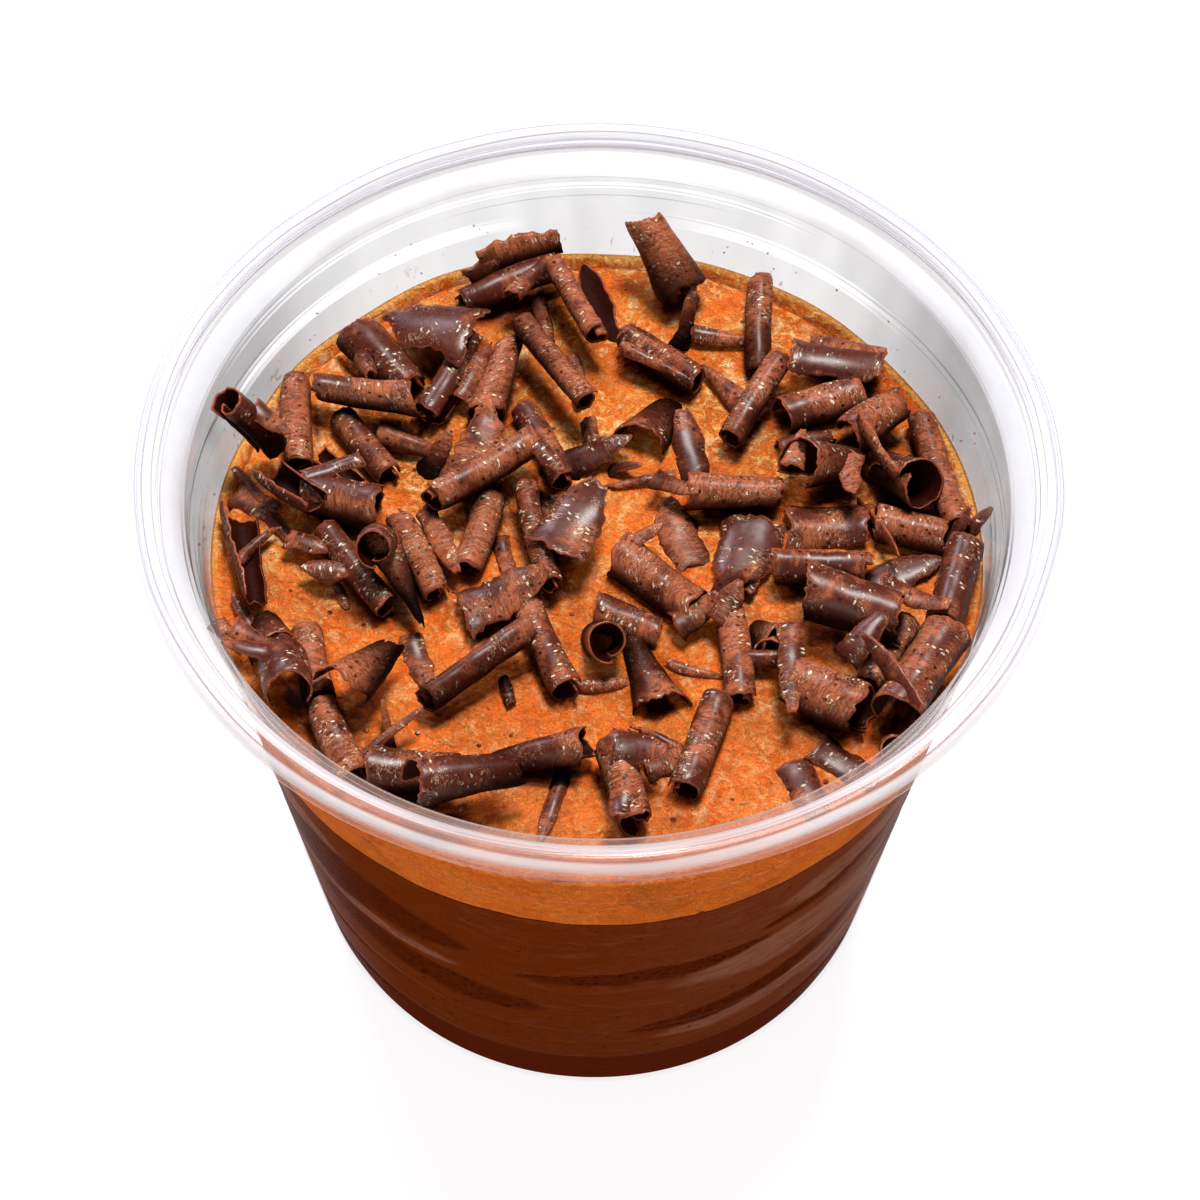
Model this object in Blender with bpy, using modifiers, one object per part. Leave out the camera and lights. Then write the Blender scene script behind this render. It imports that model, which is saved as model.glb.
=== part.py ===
"""Two-layer chocolate mousse in a clear dessert cup, topped with dark chocolate curls.

Lengths are in metres and +Z is up. The origin is on the table, under the middle of the cup.
"""

from math import atan, cos, hypot, pi, radians, sin

import bmesh
import bpy
from mathutils import Euler, Matrix, Vector, noise
from mathutils.bvhtree import BVHTree

MM = 0.001

# The cup: one sheet of clear plastic, formed into a cone with a rolled rim and a raised base panel.
CUP_HEIGHT = 70.5 * MM
RIM_RADIUS = 46.0 * MM
SHEET = 0.5 * MM
CONE_RADIUS = 30.0 * MM  # the wall's outer radius, carried down to the table
CONE_SLOPE = 0.1562  # how much that radius grows for each unit of height
CORNER_RADIUS = 3.0 * MM
PANEL_RADIUS = 24.0 * MM
PANEL_RISE = 1.3 * MM
FOOT_RADIUS = 25.3 * MM
BEAD_RADIUS = 1.66 * MM
BEAD_TURN = radians(270)
SHOULDER_HEIGHT = 64.6 * MM
SHOULDER_STEP = 0.3 * MM
LEDGE_HEIGHT = 66.8 * MM
CUP_STEPS = 36

# The filling: a dark mousse under a light one, both up to the wall.
GAP = 0.3 * MM
LAYER_HEIGHT = 45.6 * MM
LAYER_WAVE = 0.5 * MM
LAYER_WAVE_LENGTH = 22 * MM
FILL_HEIGHT = 55.9 * MM
FILL_LUMP = 0.8 * MM
FILL_LUMP_LENGTH = 11 * MM
LUMP_SLICE = 7 * MM  # the height in the noise at which the lumps are read
LUMPY_FROM = -10 * MM  # the mousse is smoother in front of this
LIP_RISE = 0.7 * MM
LIP_WIDTH = 2.5 * MM
CALM = 0.4  # what is left of the lip in front; in front, the lumps lose as much
TOP_RINGS = 8
LAYER_RINGS = 3
SIDE_RINGS = (15 * MM, 30 * MM)

# The shavings: thin sheets that rolled up as they were cut.
SHAVING = 0.42 * MM
PITCH = 0.62 * MM  # how much a roll tightens in each turn
FACETS = 8  # in a full turn
RAGGED = 0.1  # how uneven a cone's or shard's outline is
RAGGED_LENGTH = 1.1 * MM
RAGGED_ALONG = 3  # turns of the noise along a sheet, and then across it
RAGGED_ACROSS = 5
QUILL_CUTS = (-0.6 * MM, 0.9 * MM)  # how far the seam's end runs ahead, in even and odd pieces
CONE_CUTS = (-1.2 * MM, 1.6 * MM)
DROP_FROM = 74 * MM
DROP_STEP = 0.2 * MM
NUDGE = 0.3 * MM
NUDGES = {1: 6, 2: 4, 3: 2}  # how many nudges away a piece of each layer may slide

CLEAR = ("clear_plastic", (0.86, 0.88, 0.92, 0.3), 0.08)
DARK = ("dark_mousse", (0.085, 0.022, 0.006, 1.0), 0.5)
LIGHT = ("light_mousse", (0.42, 0.13, 0.035, 1.0), 0.45)
CURL = ("dark_chocolate", (0.055, 0.018, 0.012, 1.0), 0.35)

# Quills: layer, x, y, heading, lean, seam (mm and degrees), length, diameter (mm), turns.
# A piece is laid on those of the layers below. The heading is that of the narrow end.
QUILLS = [
    (3, -35.4, 10.3, 0, -60, 0, 8.2, 3.2, 1.1),
    (1, -31.7, 14.9, -85, 0, 70, 11.0, 3.2, 1.15),
    (1, -23.6, 12.0, -55, 0, 110, 9.0, 3.0, 1.15),
    (1, -9.3, 32.6, 25, 5, 140, 11.0, 3.2, 1.1),
    (1, -2.6, 30.3, -65, 0, 180, 10.0, 2.6, 1.1),
    (3, -5.2, 20.4, -58, 5, 180, 13.0, 2.7, 1.2),
    (1, -5.7, 12.0, -65, 0, 120, 10.0, 2.8, 1.15),
    (1, 6.2, 23.2, -38, 0, 200, 9.5, 3.6, 1.1),
    (1, 16.6, 28.4, 88, 8, 90, 11.2, 2.8, 1.15),
    (2, 16.8, 17.4, 62, 5, 90, 11.0, 2.8, 1.2),
    (1, 22.6, 17.6, 21, 0, 0, 8.5, 4.2, 0.75),
    (1, 35.0, 9.7, -77, 0, 120, 14.0, 2.9, 1.1),
    (2, 22.3, -3.0, -1, 0, 180, 8.8, 3.9, 1.1),
    (1, 36.3, -5.2, 75, 0, 0, 10.0, 3.9, 0.9),
    (2, 13.7, -13.3, -84, 0, 120, 11.0, 3.1, 1.15),
    (2, -10.4, -16.0, 38, 8, 200, 12.3, 3.1, 1.2),
    (1, -5.0, -12.3, -68, 0, 110, 12.0, 3.2, 1.1),
    (1, 10.3, -24.2, 72, 0, 120, 11.0, 3.4, 1.15),
    (1, -24.6, -24.4, -66, 0, 80, 8.8, 3.4, 1.1),
    (1, -27.5, -15.2, -78, 0, 60, 8.0, 3.2, 1.1),
    (1, -23.8, -3.6, -55, 0, 100, 11.3, 2.8, 1.1),
    (1, -18.0, -1.8, -66, 0, 120, 10.4, 2.9, 1.1),
    (1, -12.0, 0.8, 77, 0, 80, 9.0, 3.2, 1.0),
    (3, -11.7, 6.8, 37, 0, 170, 12.5, 3.3, 1.2),
    (2, -6.7, 0.0, -77, 0, 100, 12.3, 2.4, 1.2),
    (1, 29.0, -13.0, 60, 0, 260, 8.5, 3.5, 1.0),
    (1, 33.2, -16.0, 60, 0, 0, 10.5, 4.8, 0.75),
    (1, -15.0, 20.8, 67, 0, 260, 11.0, 3.6, 0.9),
]

# Cones: the same, with the wide end's diameter, then turns and how much narrower the far end is.
CONES = [
    (1, -24.4, 15.6, -8, 0, 0, 10.0, 3.0, 0.85, -0.25),
    (1, -22.3, 22.8, -50, 0, 0, 8.5, 5.2, 0.6, 0.25),
    (1, -10.4, 20.2, 76, 0, 0, 9.5, 3.9, 0.85, 0.3),
    (2, 6.4, 34.6, 128, 36, 0, 8.0, 5.4, 0.9, 0.3),
    (2, 25.6, 24.2, 160, -4, 90, 7.8, 4.2, 1.0, 0.15),
    (1, 29.6, 15.6, 40, 0, 0, 7.0, 5.0, 0.6, 0.3),
    (2, 23.4, 8.8, 18, -25, 0, 5.8, 5.2, 0.9, 0.25),
    (2, 30.2, 8.6, 128, -30, 150, 6.8, 5.2, 1.0, 0.3),
    (2, 25.3, -9.2, -20, 0, 0, 9.5, 6.0, 0.6, 0.15),
    (1, 13.8, 6.3, 0, 0, 0, 9.0, 4.2, 0.9, 0.25),
    (2, 6.2, -4.3, -42, 0, 0, 10.0, 4.8, 0.6, 0.1),
    (1, -5.2, -25.7, 188, -12, 60, 9.0, 3.7, 0.95, 0.3),
    (2, -12.6, -29.0, 15, -8, 0, 9.5, 5.0, 0.75, 0.35),
    (1, -18.2, -27.6, -3, 0, 0, 8.0, 4.6, 0.6, 0.1),
    (2, -23.2, -17.4, 50, -5, 0, 7.0, 6.0, 0.55, 0.6),
    (2, -19.2, -6.2, -64, -8, 0, 9.8, 4.0, 0.7, 0.85),
    (1, -25.0, 3.4, 163, 0, 20, 8.0, 5.0, 0.85, 0.15),
    (2, 22.6, -18.4, 152, 0, 60, 7.2, 5.6, 1.0, 0.1),
    (1, 1.4, -28.8, 104, 0, 0, 9.0, 3.5, 0.95, -0.15),
    (1, 5.2, -15.0, 110, 0, 0, 8.5, 5.5, 0.45, 0.6),
    (1, -36.6, -2.4, -78, 0, 150, 11.0, 4.0, 0.55, 0.4),
]

# Shards: the same, with three widths from one end to the other, then the bend's diameter.
SHARDS = [
    (2, -17.5, 26.0, 161, -12, 0, 9.8, (9.0, 6.0, 1.0), 15.0),
    (2, -11.8, 12.4, 75, 15, 0, 9.5, (6.0, 4.0, 0.8), 12.0),
    (1, 14.6, -0.5, 75, 0, 0, 8.5, (3.0, 6.0, 7.5), 16.0),
    (2, 21.8, 2.6, 3, 0, 0, 8.5, (7.0, 6.5, 5.0), 7.0),
    (1, -4.6, 3.2, -105, 0, 0, 8.0, (6.8, 5.4, 1.5), 16.0),
    (2, -1.6, 1.6, 60, 6, 0, 8.2, (6.5, 5.2, 2.0), 14.0),
    (3, -9.3, -6.8, 205, -15, 0, 9.5, (1.0, 4.5, 6.0), 14.0),
    (1, -30.6, -18.2, 102, -22, 0, 6.5, (11.0, 8.5, 3.0), 5.0),
]


def clear_scene():
    for item in list(bpy.data.objects):
        bpy.data.objects.remove(item, do_unlink=True)


def new_collection():
    parts = bpy.data.collections.new("chocolate_mousse")
    bpy.context.scene.collection.children.link(parts)
    return parts


def new_material(name, colour, roughness):
    material = bpy.data.materials.new(name)
    material.use_nodes = True
    shader = material.node_tree.nodes["Principled BSDF"]
    shader.inputs["Base Color"].default_value = colour
    shader.inputs["Roughness"].default_value = roughness
    shader.inputs["Alpha"].default_value = colour[3]
    return material


def new_object(name, mesh, material, parts):
    item = bpy.data.objects.new(name, mesh)
    mesh.materials.append(material)
    parts.objects.link(item)
    return item


def evaluated_mesh(item):
    """A copy of the object's mesh with its modifiers applied."""
    bpy.context.view_layer.update()
    depsgraph = bpy.context.evaluated_depsgraph_get()
    return bpy.data.meshes.new_from_object(item.evaluated_get(depsgraph))


def arc(centre, radius, start, turn, steps):
    """Points round a centre in the profile's plane, both ends included."""
    angles = [start + turn * step / steps for step in range(steps + 1)]
    return [(centre[0] + radius * cos(a), centre[1] + radius * sin(a)) for a in angles]


def cup_path():
    """The middle of the cup's sheet, as (radius, height) from the base's centre to the bead's tip."""
    half = SHEET / 2
    lean = hypot(1, CONE_SLOPE)

    def wall(height):
        return CONE_RADIUS - half * lean + CONE_SLOPE * height

    bend = CORNER_RADIUS - half
    corner = (wall(CORNER_RADIUS) - bend * lean, CORNER_RADIUS)
    bead = BEAD_RADIUS - half
    bead_centre = (RIM_RADIUS - BEAD_RADIUS, CUP_HEIGHT - BEAD_RADIUS)
    seat = bead_centre[0] - bead
    shoulder = wall(SHOULDER_HEIGHT)
    return [
        (0, PANEL_RISE + half),
        (PANEL_RADIUS, PANEL_RISE + half),
        (FOOT_RADIUS, half),
        *arc(corner, bend, -pi / 2, pi / 2 - atan(CONE_SLOPE), 3),
        (shoulder, SHOULDER_HEIGHT),
        (shoulder + SHOULDER_STEP, SHOULDER_HEIGHT + SHOULDER_STEP),
        (wall(LEDGE_HEIGHT) + SHOULDER_STEP, LEDGE_HEIGHT),
        (seat - half, LEDGE_HEIGHT + 4 * half),
        *arc(bead_centre, bead, pi, -BEAD_TURN, 6),
    ]


def offset(path, distance):
    """The path moved to its left by a distance, with mitred corners."""
    moved = []
    for i, point in enumerate(path):
        before = path[max(i - 1, 0)]
        after = path[min(i + 1, len(path) - 1)]
        normals = []
        for a, b in ((before, point), (point, after)):
            length = hypot(b[0] - a[0], b[1] - a[1])
            if length > 0:
                normals.append(Vector(((a[1] - b[1]) / length, (b[0] - a[0]) / length)))
        mitre = normals[0] + normals[-1]
        mitre *= 2 * distance / mitre.length_squared
        moved.append((max(point[0] + mitre.x, 0), point[1] + mitre.y))
    return moved


def turned(name, outline, material, parts):
    """A solid turned from an outline that runs from the axis, up its inner side, and back."""
    mesh = bpy.data.meshes.new(name)
    edges = [(i, i + 1) for i in range(len(outline) - 1)]
    mesh.from_pydata([(r, 0, z) for r, z in outline], edges, [])
    item = new_object(name, mesh, material, parts)
    screw = item.modifiers.new("turn", "SCREW")
    screw.steps = CUP_STEPS
    screw.render_steps = CUP_STEPS
    screw.use_merge_vertices = True
    screw.merge_threshold = 0.01 * MM
    return item


def make_cup(material, parts):
    path = cup_path()
    return turned("cup", offset(path, SHEET / 2) + offset(path, -SHEET / 2)[::-1], material, parts)


def bowl_radius(height):
    """The filling's outer radius at a height above the cup's corner."""
    return CONE_RADIUS - (SHEET + GAP) * hypot(1, CONE_SLOPE) + CONE_SLOPE * height


def wave(x, y):
    """How far the top of the dark layer departs from its mean height."""
    return LAYER_WAVE * noise.noise(Vector((x, y, 0)) / LAYER_WAVE_LENGTH)


def relief(x, y):
    """How far the top of the mousse departs from its mean height."""
    away = bowl_radius(FILL_HEIGHT) - hypot(x, y)
    lip = LIP_RISE * max(0, 1 - away / LIP_WIDTH) * (1 if y > 0 else CALM)
    lump = noise.noise(Vector((x, y, LUMP_SLICE)) / FILL_LUMP_LENGTH)
    return lip + FILL_LUMP * lump * (1 if y > LUMPY_FROM else 1 - CALM)


def rings(radius, height, count):
    """Profile points from a radius in to the axis, at one height."""
    return [(radius * (count - i) / count, height) for i in range(count + 1)]


def lift(item, above, low, high):
    """Turns the modifiers into a plain mesh. Its points below and above a height go up by two amounts."""
    mesh = evaluated_mesh(item)
    for vertex in mesh.vertices:
        amount = high if vertex.co.z > above else low
        vertex.co.z += amount(vertex.co.x, vertex.co.y)
    item.modifiers.clear()
    item.data = mesh


def still(x, y):
    return 0


def make_dark_layer(material, parts):
    inside = offset(cup_path(), SHEET / 2 + GAP)
    bottom = [point for point in inside if point[1] < 2 * CORNER_RADIUS]
    side = [(bowl_radius(z), z) for z in SIDE_RINGS]
    top = rings(bowl_radius(LAYER_HEIGHT), LAYER_HEIGHT, LAYER_RINGS)
    outline = bottom + side + top
    item = turned("mousse_dark_layer", outline[::-1], material, parts)
    lift(item, max(SIDE_RINGS) + GAP, still, wave)
    return item


def make_light_layer(material, parts):
    low = LAYER_HEIGHT + GAP
    bottom = rings(bowl_radius(low), low, LAYER_RINGS)[::-1]
    top = rings(bowl_radius(FILL_HEIGHT), FILL_HEIGHT, TOP_RINGS)
    item = turned("mousse_light_layer", (bottom + top)[::-1], material, parts)
    lift(item, (LAYER_HEIGHT + FILL_HEIGHT) / 2, wave, relief)
    return item


def shaving_mesh(name, length, widths, across, taper, cut, uneven):
    """A sheet as long as it says, rolled about X. widths are the sheet's, from end to end."""
    turns = max(widths) / (pi * across)
    around = max(3, round(FACETS * turns))
    along = 2 if taper or widths[0] != widths[2] else 1
    bm = bmesh.new()
    bmesh.ops.create_grid(bm, x_segments=along, y_segments=around, size=0.5)
    for vertex in bm.verts:
        u = vertex.co.x + 0.5
        v = vertex.co.y
        middle = 1 - abs(2 * u - 1)
        end = widths[0] if u < 0.5 else widths[2]
        width = end + (widths[1] - end) * middle
        slot = (length / RAGGED_LENGTH + RAGGED_ALONG * u, RAGGED_ACROSS * v, across / RAGGED_LENGTH)
        edge = uneven * noise.noise(Vector(slot))
        radius = across / 2 * (1 - taper * u) - PITCH * (v + 0.5) * width / (pi * across)
        angle = v * (1 + edge) * 2 * width / across
        vertex.co.x = (u - 0.5) * length * (1 + edge) + cut * v
        vertex.co.y = -radius * sin(angle)
        vertex.co.z = radius * cos(angle)
    low = Vector([min(v.co[i] for v in bm.verts) for i in range(3)])
    high = Vector([max(v.co[i] for v in bm.verts) for i in range(3)])
    bmesh.ops.translate(bm, verts=bm.verts, vec=-(low + high) / 2)
    mesh = bpy.data.meshes.new(name)
    bm.to_mesh(mesh)
    bm.free()
    return mesh


def make_shaving(name, place, mesh, material, parts):
    x, y, heading, lean, seam = place
    item = new_object(name, mesh, material, parts)
    item.location = (x * MM, y * MM, DROP_FROM)
    turn = Euler((0, radians(-lean), radians(heading)), "XYZ").to_matrix()
    item.rotation_euler = (turn @ Matrix.Rotation(radians(seam), 3, "X")).to_euler()
    sheet = item.modifiers.new("sheet", "SOLIDIFY")
    sheet.thickness = SHAVING
    sheet.offset = 0
    return item


def world_shape(item, grow):
    """The corners, moved out by some amount, and the faces of an object in the world."""
    mesh = evaluated_mesh(item)
    place = item.matrix_world
    turn = place.to_3x3()
    corners = [place @ v.co + grow * (turn @ v.normal) for v in mesh.vertices]
    faces = [tuple(face.vertices) for face in mesh.polygons]
    bpy.data.meshes.remove(mesh)
    return corners, faces


class Heap:
    """What is already in the cup, for the next shaving to come down on."""

    def __init__(self, items):
        self.corners = []
        self.faces = []
        for item in items:
            self.add(item)

    def add(self, item):
        corners, faces = world_shape(item, 0)
        first = len(self.corners)
        self.corners += corners
        self.faces += [tuple(first + i for i in face) for face in faces]
        self.tree = BVHTree.FromPolygons(self.corners, self.faces)

    def free(self, corners, faces, move):
        moved = [corner + move for corner in corners]
        return not BVHTree.FromPolygons(moved, faces).overlap(self.tree)

    def settle(self, item, slides):
        """Lowers the shaving, one gap away from the heap, and lets it slide a little where it is held up."""
        corners, faces = world_shape(item, GAP)
        low = min(corner.z for corner in corners)
        place = Vector((0, 0, 0))
        while True:
            held_up = low + place.z > FILL_HEIGHT + FILL_LUMP
            for move in slides if held_up else slides[:1]:
                lower = Vector((move.x, move.y, place.z - DROP_STEP))
                if self.free(corners, faces, lower):
                    place = lower
                    slides = [Vector((move.x, move.y, 0))] + slides
                    break
            else:
                break
        item.location += place
        self.add(item)


def slides_for(item, count):
    """Sideways moves to try, nearest first: towards the cup's axis, then round about."""
    inward = -item.location.to_2d().normalized()
    moves = [Vector((0, 0, 0))]
    for step in range(1, count + 1):
        for turn in (0, 45, -45, 90, -90, 135, -135, 180):
            x, y = Matrix.Rotation(radians(turn), 2) @ inward * step * NUDGE
            moves.append(Vector((x, y, 0)))
    return moves


def shavings(material, parts):
    """Every shaving with its layer, made high above the cup."""
    made = []
    for number, (layer, *place, length, across, turns) in enumerate(QUILLS, 1):
        width = turns * pi * across * MM
        name = f"quill_{number:02d}"
        cut = QUILL_CUTS[number % 2]
        mesh = shaving_mesh(name, length * MM, (width,) * 3, across * MM, 0, cut, 0)
        made.append((layer, make_shaving(name, place, mesh, material, parts)))
    for number, (layer, *place, length, across, turns, taper) in enumerate(CONES, 1):
        width = turns * pi * across * MM
        name = f"cone_{number:02d}"
        cut = CONE_CUTS[number % 2]
        mesh = shaving_mesh(name, length * MM, (width,) * 3, across * MM, taper, cut, RAGGED)
        made.append((layer, make_shaving(name, place, mesh, material, parts)))
    for number, (layer, *place, length, widths, across) in enumerate(SHARDS, 1):
        sizes = tuple(width * MM for width in widths)
        name = f"shard_{number:02d}"
        mesh = shaving_mesh(name, length * MM, sizes, across * MM, 0, 0, RAGGED)
        made.append((layer, make_shaving(name, place, mesh, material, parts)))
    return made


def main():
    clear_scene()
    parts = new_collection()
    cup = make_cup(new_material(*CLEAR), parts)
    dark = make_dark_layer(new_material(*DARK), parts)
    light = make_light_layer(new_material(*LIGHT), parts)
    heap = Heap([cup, dark, light])
    made = shavings(new_material(*CURL), parts)
    for wanted, nudges in NUDGES.items():
        for layer, item in made:
            if layer == wanted:
                heap.settle(item, slides_for(item, nudges))


main()
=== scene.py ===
"""Looks of the two-layer chocolate mousse in its clear cup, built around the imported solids.

Lengths are in metres and +Z is up. The cup stands on the floor at the origin, and -Y is its front.
"""

from functools import partial
from math import atan, atan2, cos, degrees, hypot, pi, radians, sin, tau
from random import Random

import bmesh
import bpy
from bpy.props import FloatProperty, FloatVectorProperty, IntProperty, PointerProperty
from mathutils import Matrix, Vector, noise
from mathutils.bvhtree import BVHTree


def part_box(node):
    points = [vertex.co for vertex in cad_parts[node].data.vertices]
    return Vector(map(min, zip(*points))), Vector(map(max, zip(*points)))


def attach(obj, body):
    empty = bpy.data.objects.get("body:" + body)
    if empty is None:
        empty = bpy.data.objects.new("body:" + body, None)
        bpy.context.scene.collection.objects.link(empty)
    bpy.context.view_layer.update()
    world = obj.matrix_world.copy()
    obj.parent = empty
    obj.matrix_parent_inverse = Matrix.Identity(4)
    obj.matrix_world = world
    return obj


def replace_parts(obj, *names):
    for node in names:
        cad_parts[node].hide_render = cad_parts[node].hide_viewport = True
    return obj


bl_info = {
    "name": "Chocolate mousse cup",
    "version": (1, 0, 0),
    "blender": (4, 5, 0),
    "location": "View3D > Sidebar > Mousse",
    "description": "Dresses the solids of a two-layer mousse cup with curls",
    "category": "Object",
}

MM = 0.001

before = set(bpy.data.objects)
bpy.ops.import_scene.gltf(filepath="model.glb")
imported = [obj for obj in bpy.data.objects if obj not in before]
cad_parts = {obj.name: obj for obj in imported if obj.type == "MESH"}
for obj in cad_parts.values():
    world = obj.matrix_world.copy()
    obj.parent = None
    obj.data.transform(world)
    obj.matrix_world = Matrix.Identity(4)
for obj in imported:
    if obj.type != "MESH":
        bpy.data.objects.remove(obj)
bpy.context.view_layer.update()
RIM_RADIUS = (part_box("cup")[1].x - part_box("cup")[0].x) / 2
CUP_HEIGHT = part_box("cup")[1].z

# The cup's profile, as the solid has it: the wall's outer radius is CONE_RADIUS + CONE_SLOPE * height.
SHEET = 0.45 * MM
CONE_RADIUS = 30.0 * MM
CONE_SLOPE = 0.1562
CONE_LEAN = hypot(1, CONE_SLOPE)
CORNER_RADIUS = 3.0 * MM
PANEL_RADIUS = 24.0 * MM
PANEL_RISE = 1.3 * MM
FOOT_RADIUS = 25.3 * MM
BEAD_RADIUS = 1.66 * MM
BEAD_TURN = radians(285)
LEDGE_HEIGHT = 66.8 * MM
WALL_RINGS = (9.3 * MM, 16.7 * MM, 51.0 * MM, 61.4 * MM)  # fine ribs pressed into the wall
RIB = 0.14 * MM
RIB_WIDTH = 0.9 * MM
SHOULDERS = (62.6 * MM, 64.4 * MM)  # steps that the cups stack on
SHOULDER_STEP = 0.25 * MM

# Heights (mm) over which one finish turns into the next: the mousse's side into its top, the wall by
# the mousse into the misted wall, and that into the rim.
TOP_FADE = (54.6, 55.4)
MIST_FADE = (56.1, 56.3)
RIM_FADE = (66.5, 67.1)

# On the wall above the mousse, between two numbers of degrees round from the back: clear bands, which are
# painted highlights, by height and half height, and grey lines, which are painted reflections, by the
# heights at their two ends and half height (mm).
PAINTED_CLEAR_BANDS = (
    (61.5, 0.34, -68, -18),
    (62.2, 0.20, -66, -20),
    (61.5, 0.22, 16, 46),
    (62.3, 0.16, 16, 46),
    (65.45, 0.16, -64, 26),
)
PAINTED_GREY_LINES = (
    (62.8, 62.1, 0.06, -78, -30),
    (62.2, 62.1, 0.03, 6, 46),
    (62.1, 63.7, 0.08, 46, 94),
    (61.3, 63.0, 0.04, 48, 94),
    (64.0, 64.2, 0.05, -22, 16),
    (65.0, 65.2, 0.05, -26, 30),
    (66.3, 66.3, 0.05, -80, 75),
    (64.0, 62.9, 0.14, -104, -74),
    (64.0, 62.9, 0.08, -96, -74),
    (64.6, 63.7, 0.04, -104, -78),
)

# The filling, with the same waves and lumps as the solids.
LAYER_HEIGHT = 45.6 * MM
WAVY_FROM = 40 * MM
LAYER_WAVE = 0.5 * MM
LAYER_WAVE_LENGTH = 22  # mm
FILL_HEIGHT = 56.3 * MM
FILL_LUMP = 0.8 * MM
FILL_LUMP_LENGTH = 11  # mm
LUMP_LEVEL = 7  # mm
LUMPY_FROM = -10 * MM
CALM = 0.4  # in front, the lip keeps this share of its height, and the lumps lose it
LIP_RISE = 0.5 * MM  # the lip by the wall, and the crack inside it
LIP_WIDTH = 1.5 * MM
LIP_FLAT = 0.8 * MM
CRACK_DEPTH = 0.9 * MM
CRACK_WIDTH = 0.45 * MM
CLING = 0.45 * MM  # how far the mousse climbs the shavings, and from how far away
CLING_REACH = 1.6 * MM
HOLLOW_DEPTH = 0.10 * MM  # how far the hollow bands are pressed in
INTO_WALL = 0.28 * MM  # how far the mousse's side reaches into the wall, so that no air shows

# The shavings. Their ends are cut askew, by turns this way and that, and torn by about RAGGED mm.
SHAVING = 0.40 * MM  # how thick they are
PITCH = 0.62 * MM  # how much a roll tightens in each turn
QUILL_CUTS = (-0.6 * MM, 0.9 * MM)
CONE_CUTS = (-1.2 * MM, 1.6 * MM)
SMALL_CUT = 0.8 * MM
QUILL_RAGGED = 0.45
CONE_RAGGED = 0.8
SHARD_RAGGED = 0.9
SMALL_RAGGED = 0.6
EDGE_WIDTH = 0.55 * MM  # the reddish edge
THIN_WIDTH = 0.7 * MM  # the edge's thinner part, and how much thinner it gets
THINNER = 0.62
DROP_FROM = 20 * MM  # above the rim
SUNK = 7  # one in so many of a small shaving's points sinks into what it rests on
NO_FLOOR = 0.1
BELOW_SMALL = ("light_mousse_layer", "chocolate_quills", "chocolate_cones", "chocolate_shards")

# Quills: heading, lean, seam (degrees), length, diameter (mm), turns. Their solids say where they lie.
QUILLS = [
    (0, -60, 0, 8.2, 3.2, 1.1),
    (-85, 0, 70, 11.0, 3.2, 1.15),
    (-55, 0, 110, 9.0, 3.0, 1.15),
    (25, 5, 140, 11.0, 3.2, 1.1),
    (-65, 0, 180, 10.0, 2.6, 1.1),
    (-58, 5, 180, 13.0, 2.7, 1.2),
    (-65, 0, 120, 10.0, 2.8, 1.15),
    (-38, 0, 200, 9.5, 3.6, 1.1),
    (88, 8, 90, 11.2, 2.8, 1.15),
    (62, 5, 90, 11.0, 2.8, 1.2),
    (21, 0, 0, 8.5, 4.2, 0.75),
    (-77, 0, 120, 14.0, 2.9, 1.1),
    (-1, 0, 180, 8.8, 3.9, 1.1),
    (75, 0, 0, 10.0, 3.9, 0.9),
    (-84, 0, 120, 11.0, 3.1, 1.15),
    (38, 8, 200, 12.3, 3.1, 1.2),
    (-68, 0, 110, 12.0, 3.2, 1.1),
    (72, 0, 120, 11.0, 3.4, 1.15),
    (-66, 0, 80, 8.8, 3.4, 1.1),
    (-78, 0, 60, 8.0, 3.2, 1.1),
    (-55, 0, 100, 11.3, 2.8, 1.1),
    (-66, 0, 120, 10.4, 2.9, 1.1),
    (77, 0, 80, 9.0, 3.2, 1.0),
    (37, 0, 170, 12.5, 3.3, 1.2),
    (-77, 0, 100, 12.3, 2.4, 1.2),
    (60, 0, 260, 8.5, 3.5, 1.0),
    (60, 0, 0, 10.5, 4.8, 0.75),
    (67, 0, 260, 11.0, 3.6, 0.9),
]

# Cones: the same, with the near end's diameter, and last how much narrower the far end is.
CONES = [
    (-8, 0, 0, 10.0, 3.0, 0.85, -0.25),
    (-50, 0, 0, 8.5, 5.2, 0.6, 0.25),
    (76, 0, 0, 9.5, 3.9, 0.85, 0.3),
    (128, 36, 0, 8.0, 5.4, 0.9, 0.3),
    (160, -4, 90, 7.8, 4.2, 1.0, 0.15),
    (40, 0, 0, 7.0, 5.0, 0.6, 0.3),
    (18, -25, 0, 5.8, 5.2, 0.9, 0.25),
    (128, -30, 150, 6.8, 5.2, 1.0, 0.3),
    (-20, 0, 0, 9.5, 6.0, 0.6, 0.15),
    (0, 0, 0, 9.0, 4.2, 0.9, 0.25),
    (-42, 0, 0, 10.0, 4.8, 0.6, 0.1),
    (188, -12, 60, 9.0, 3.7, 0.95, 0.3),
    (15, -8, 0, 9.5, 5.0, 0.75, 0.35),
    (-3, 0, 0, 8.0, 4.6, 0.6, 0.1),
    (50, -5, 0, 7.0, 6.0, 0.55, 0.6),
    (-64, -8, 0, 9.8, 4.0, 0.7, 0.85),
    (163, 0, 20, 8.0, 5.0, 0.85, 0.15),
    (152, 0, 60, 7.2, 5.6, 1.0, 0.1),
    (104, 0, 0, 9.0, 3.5, 0.95, -0.15),
    (110, 0, 0, 8.5, 5.5, 0.45, 0.6),
    (-78, 0, 150, 11.0, 4.0, 0.55, 0.4),
]

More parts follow.
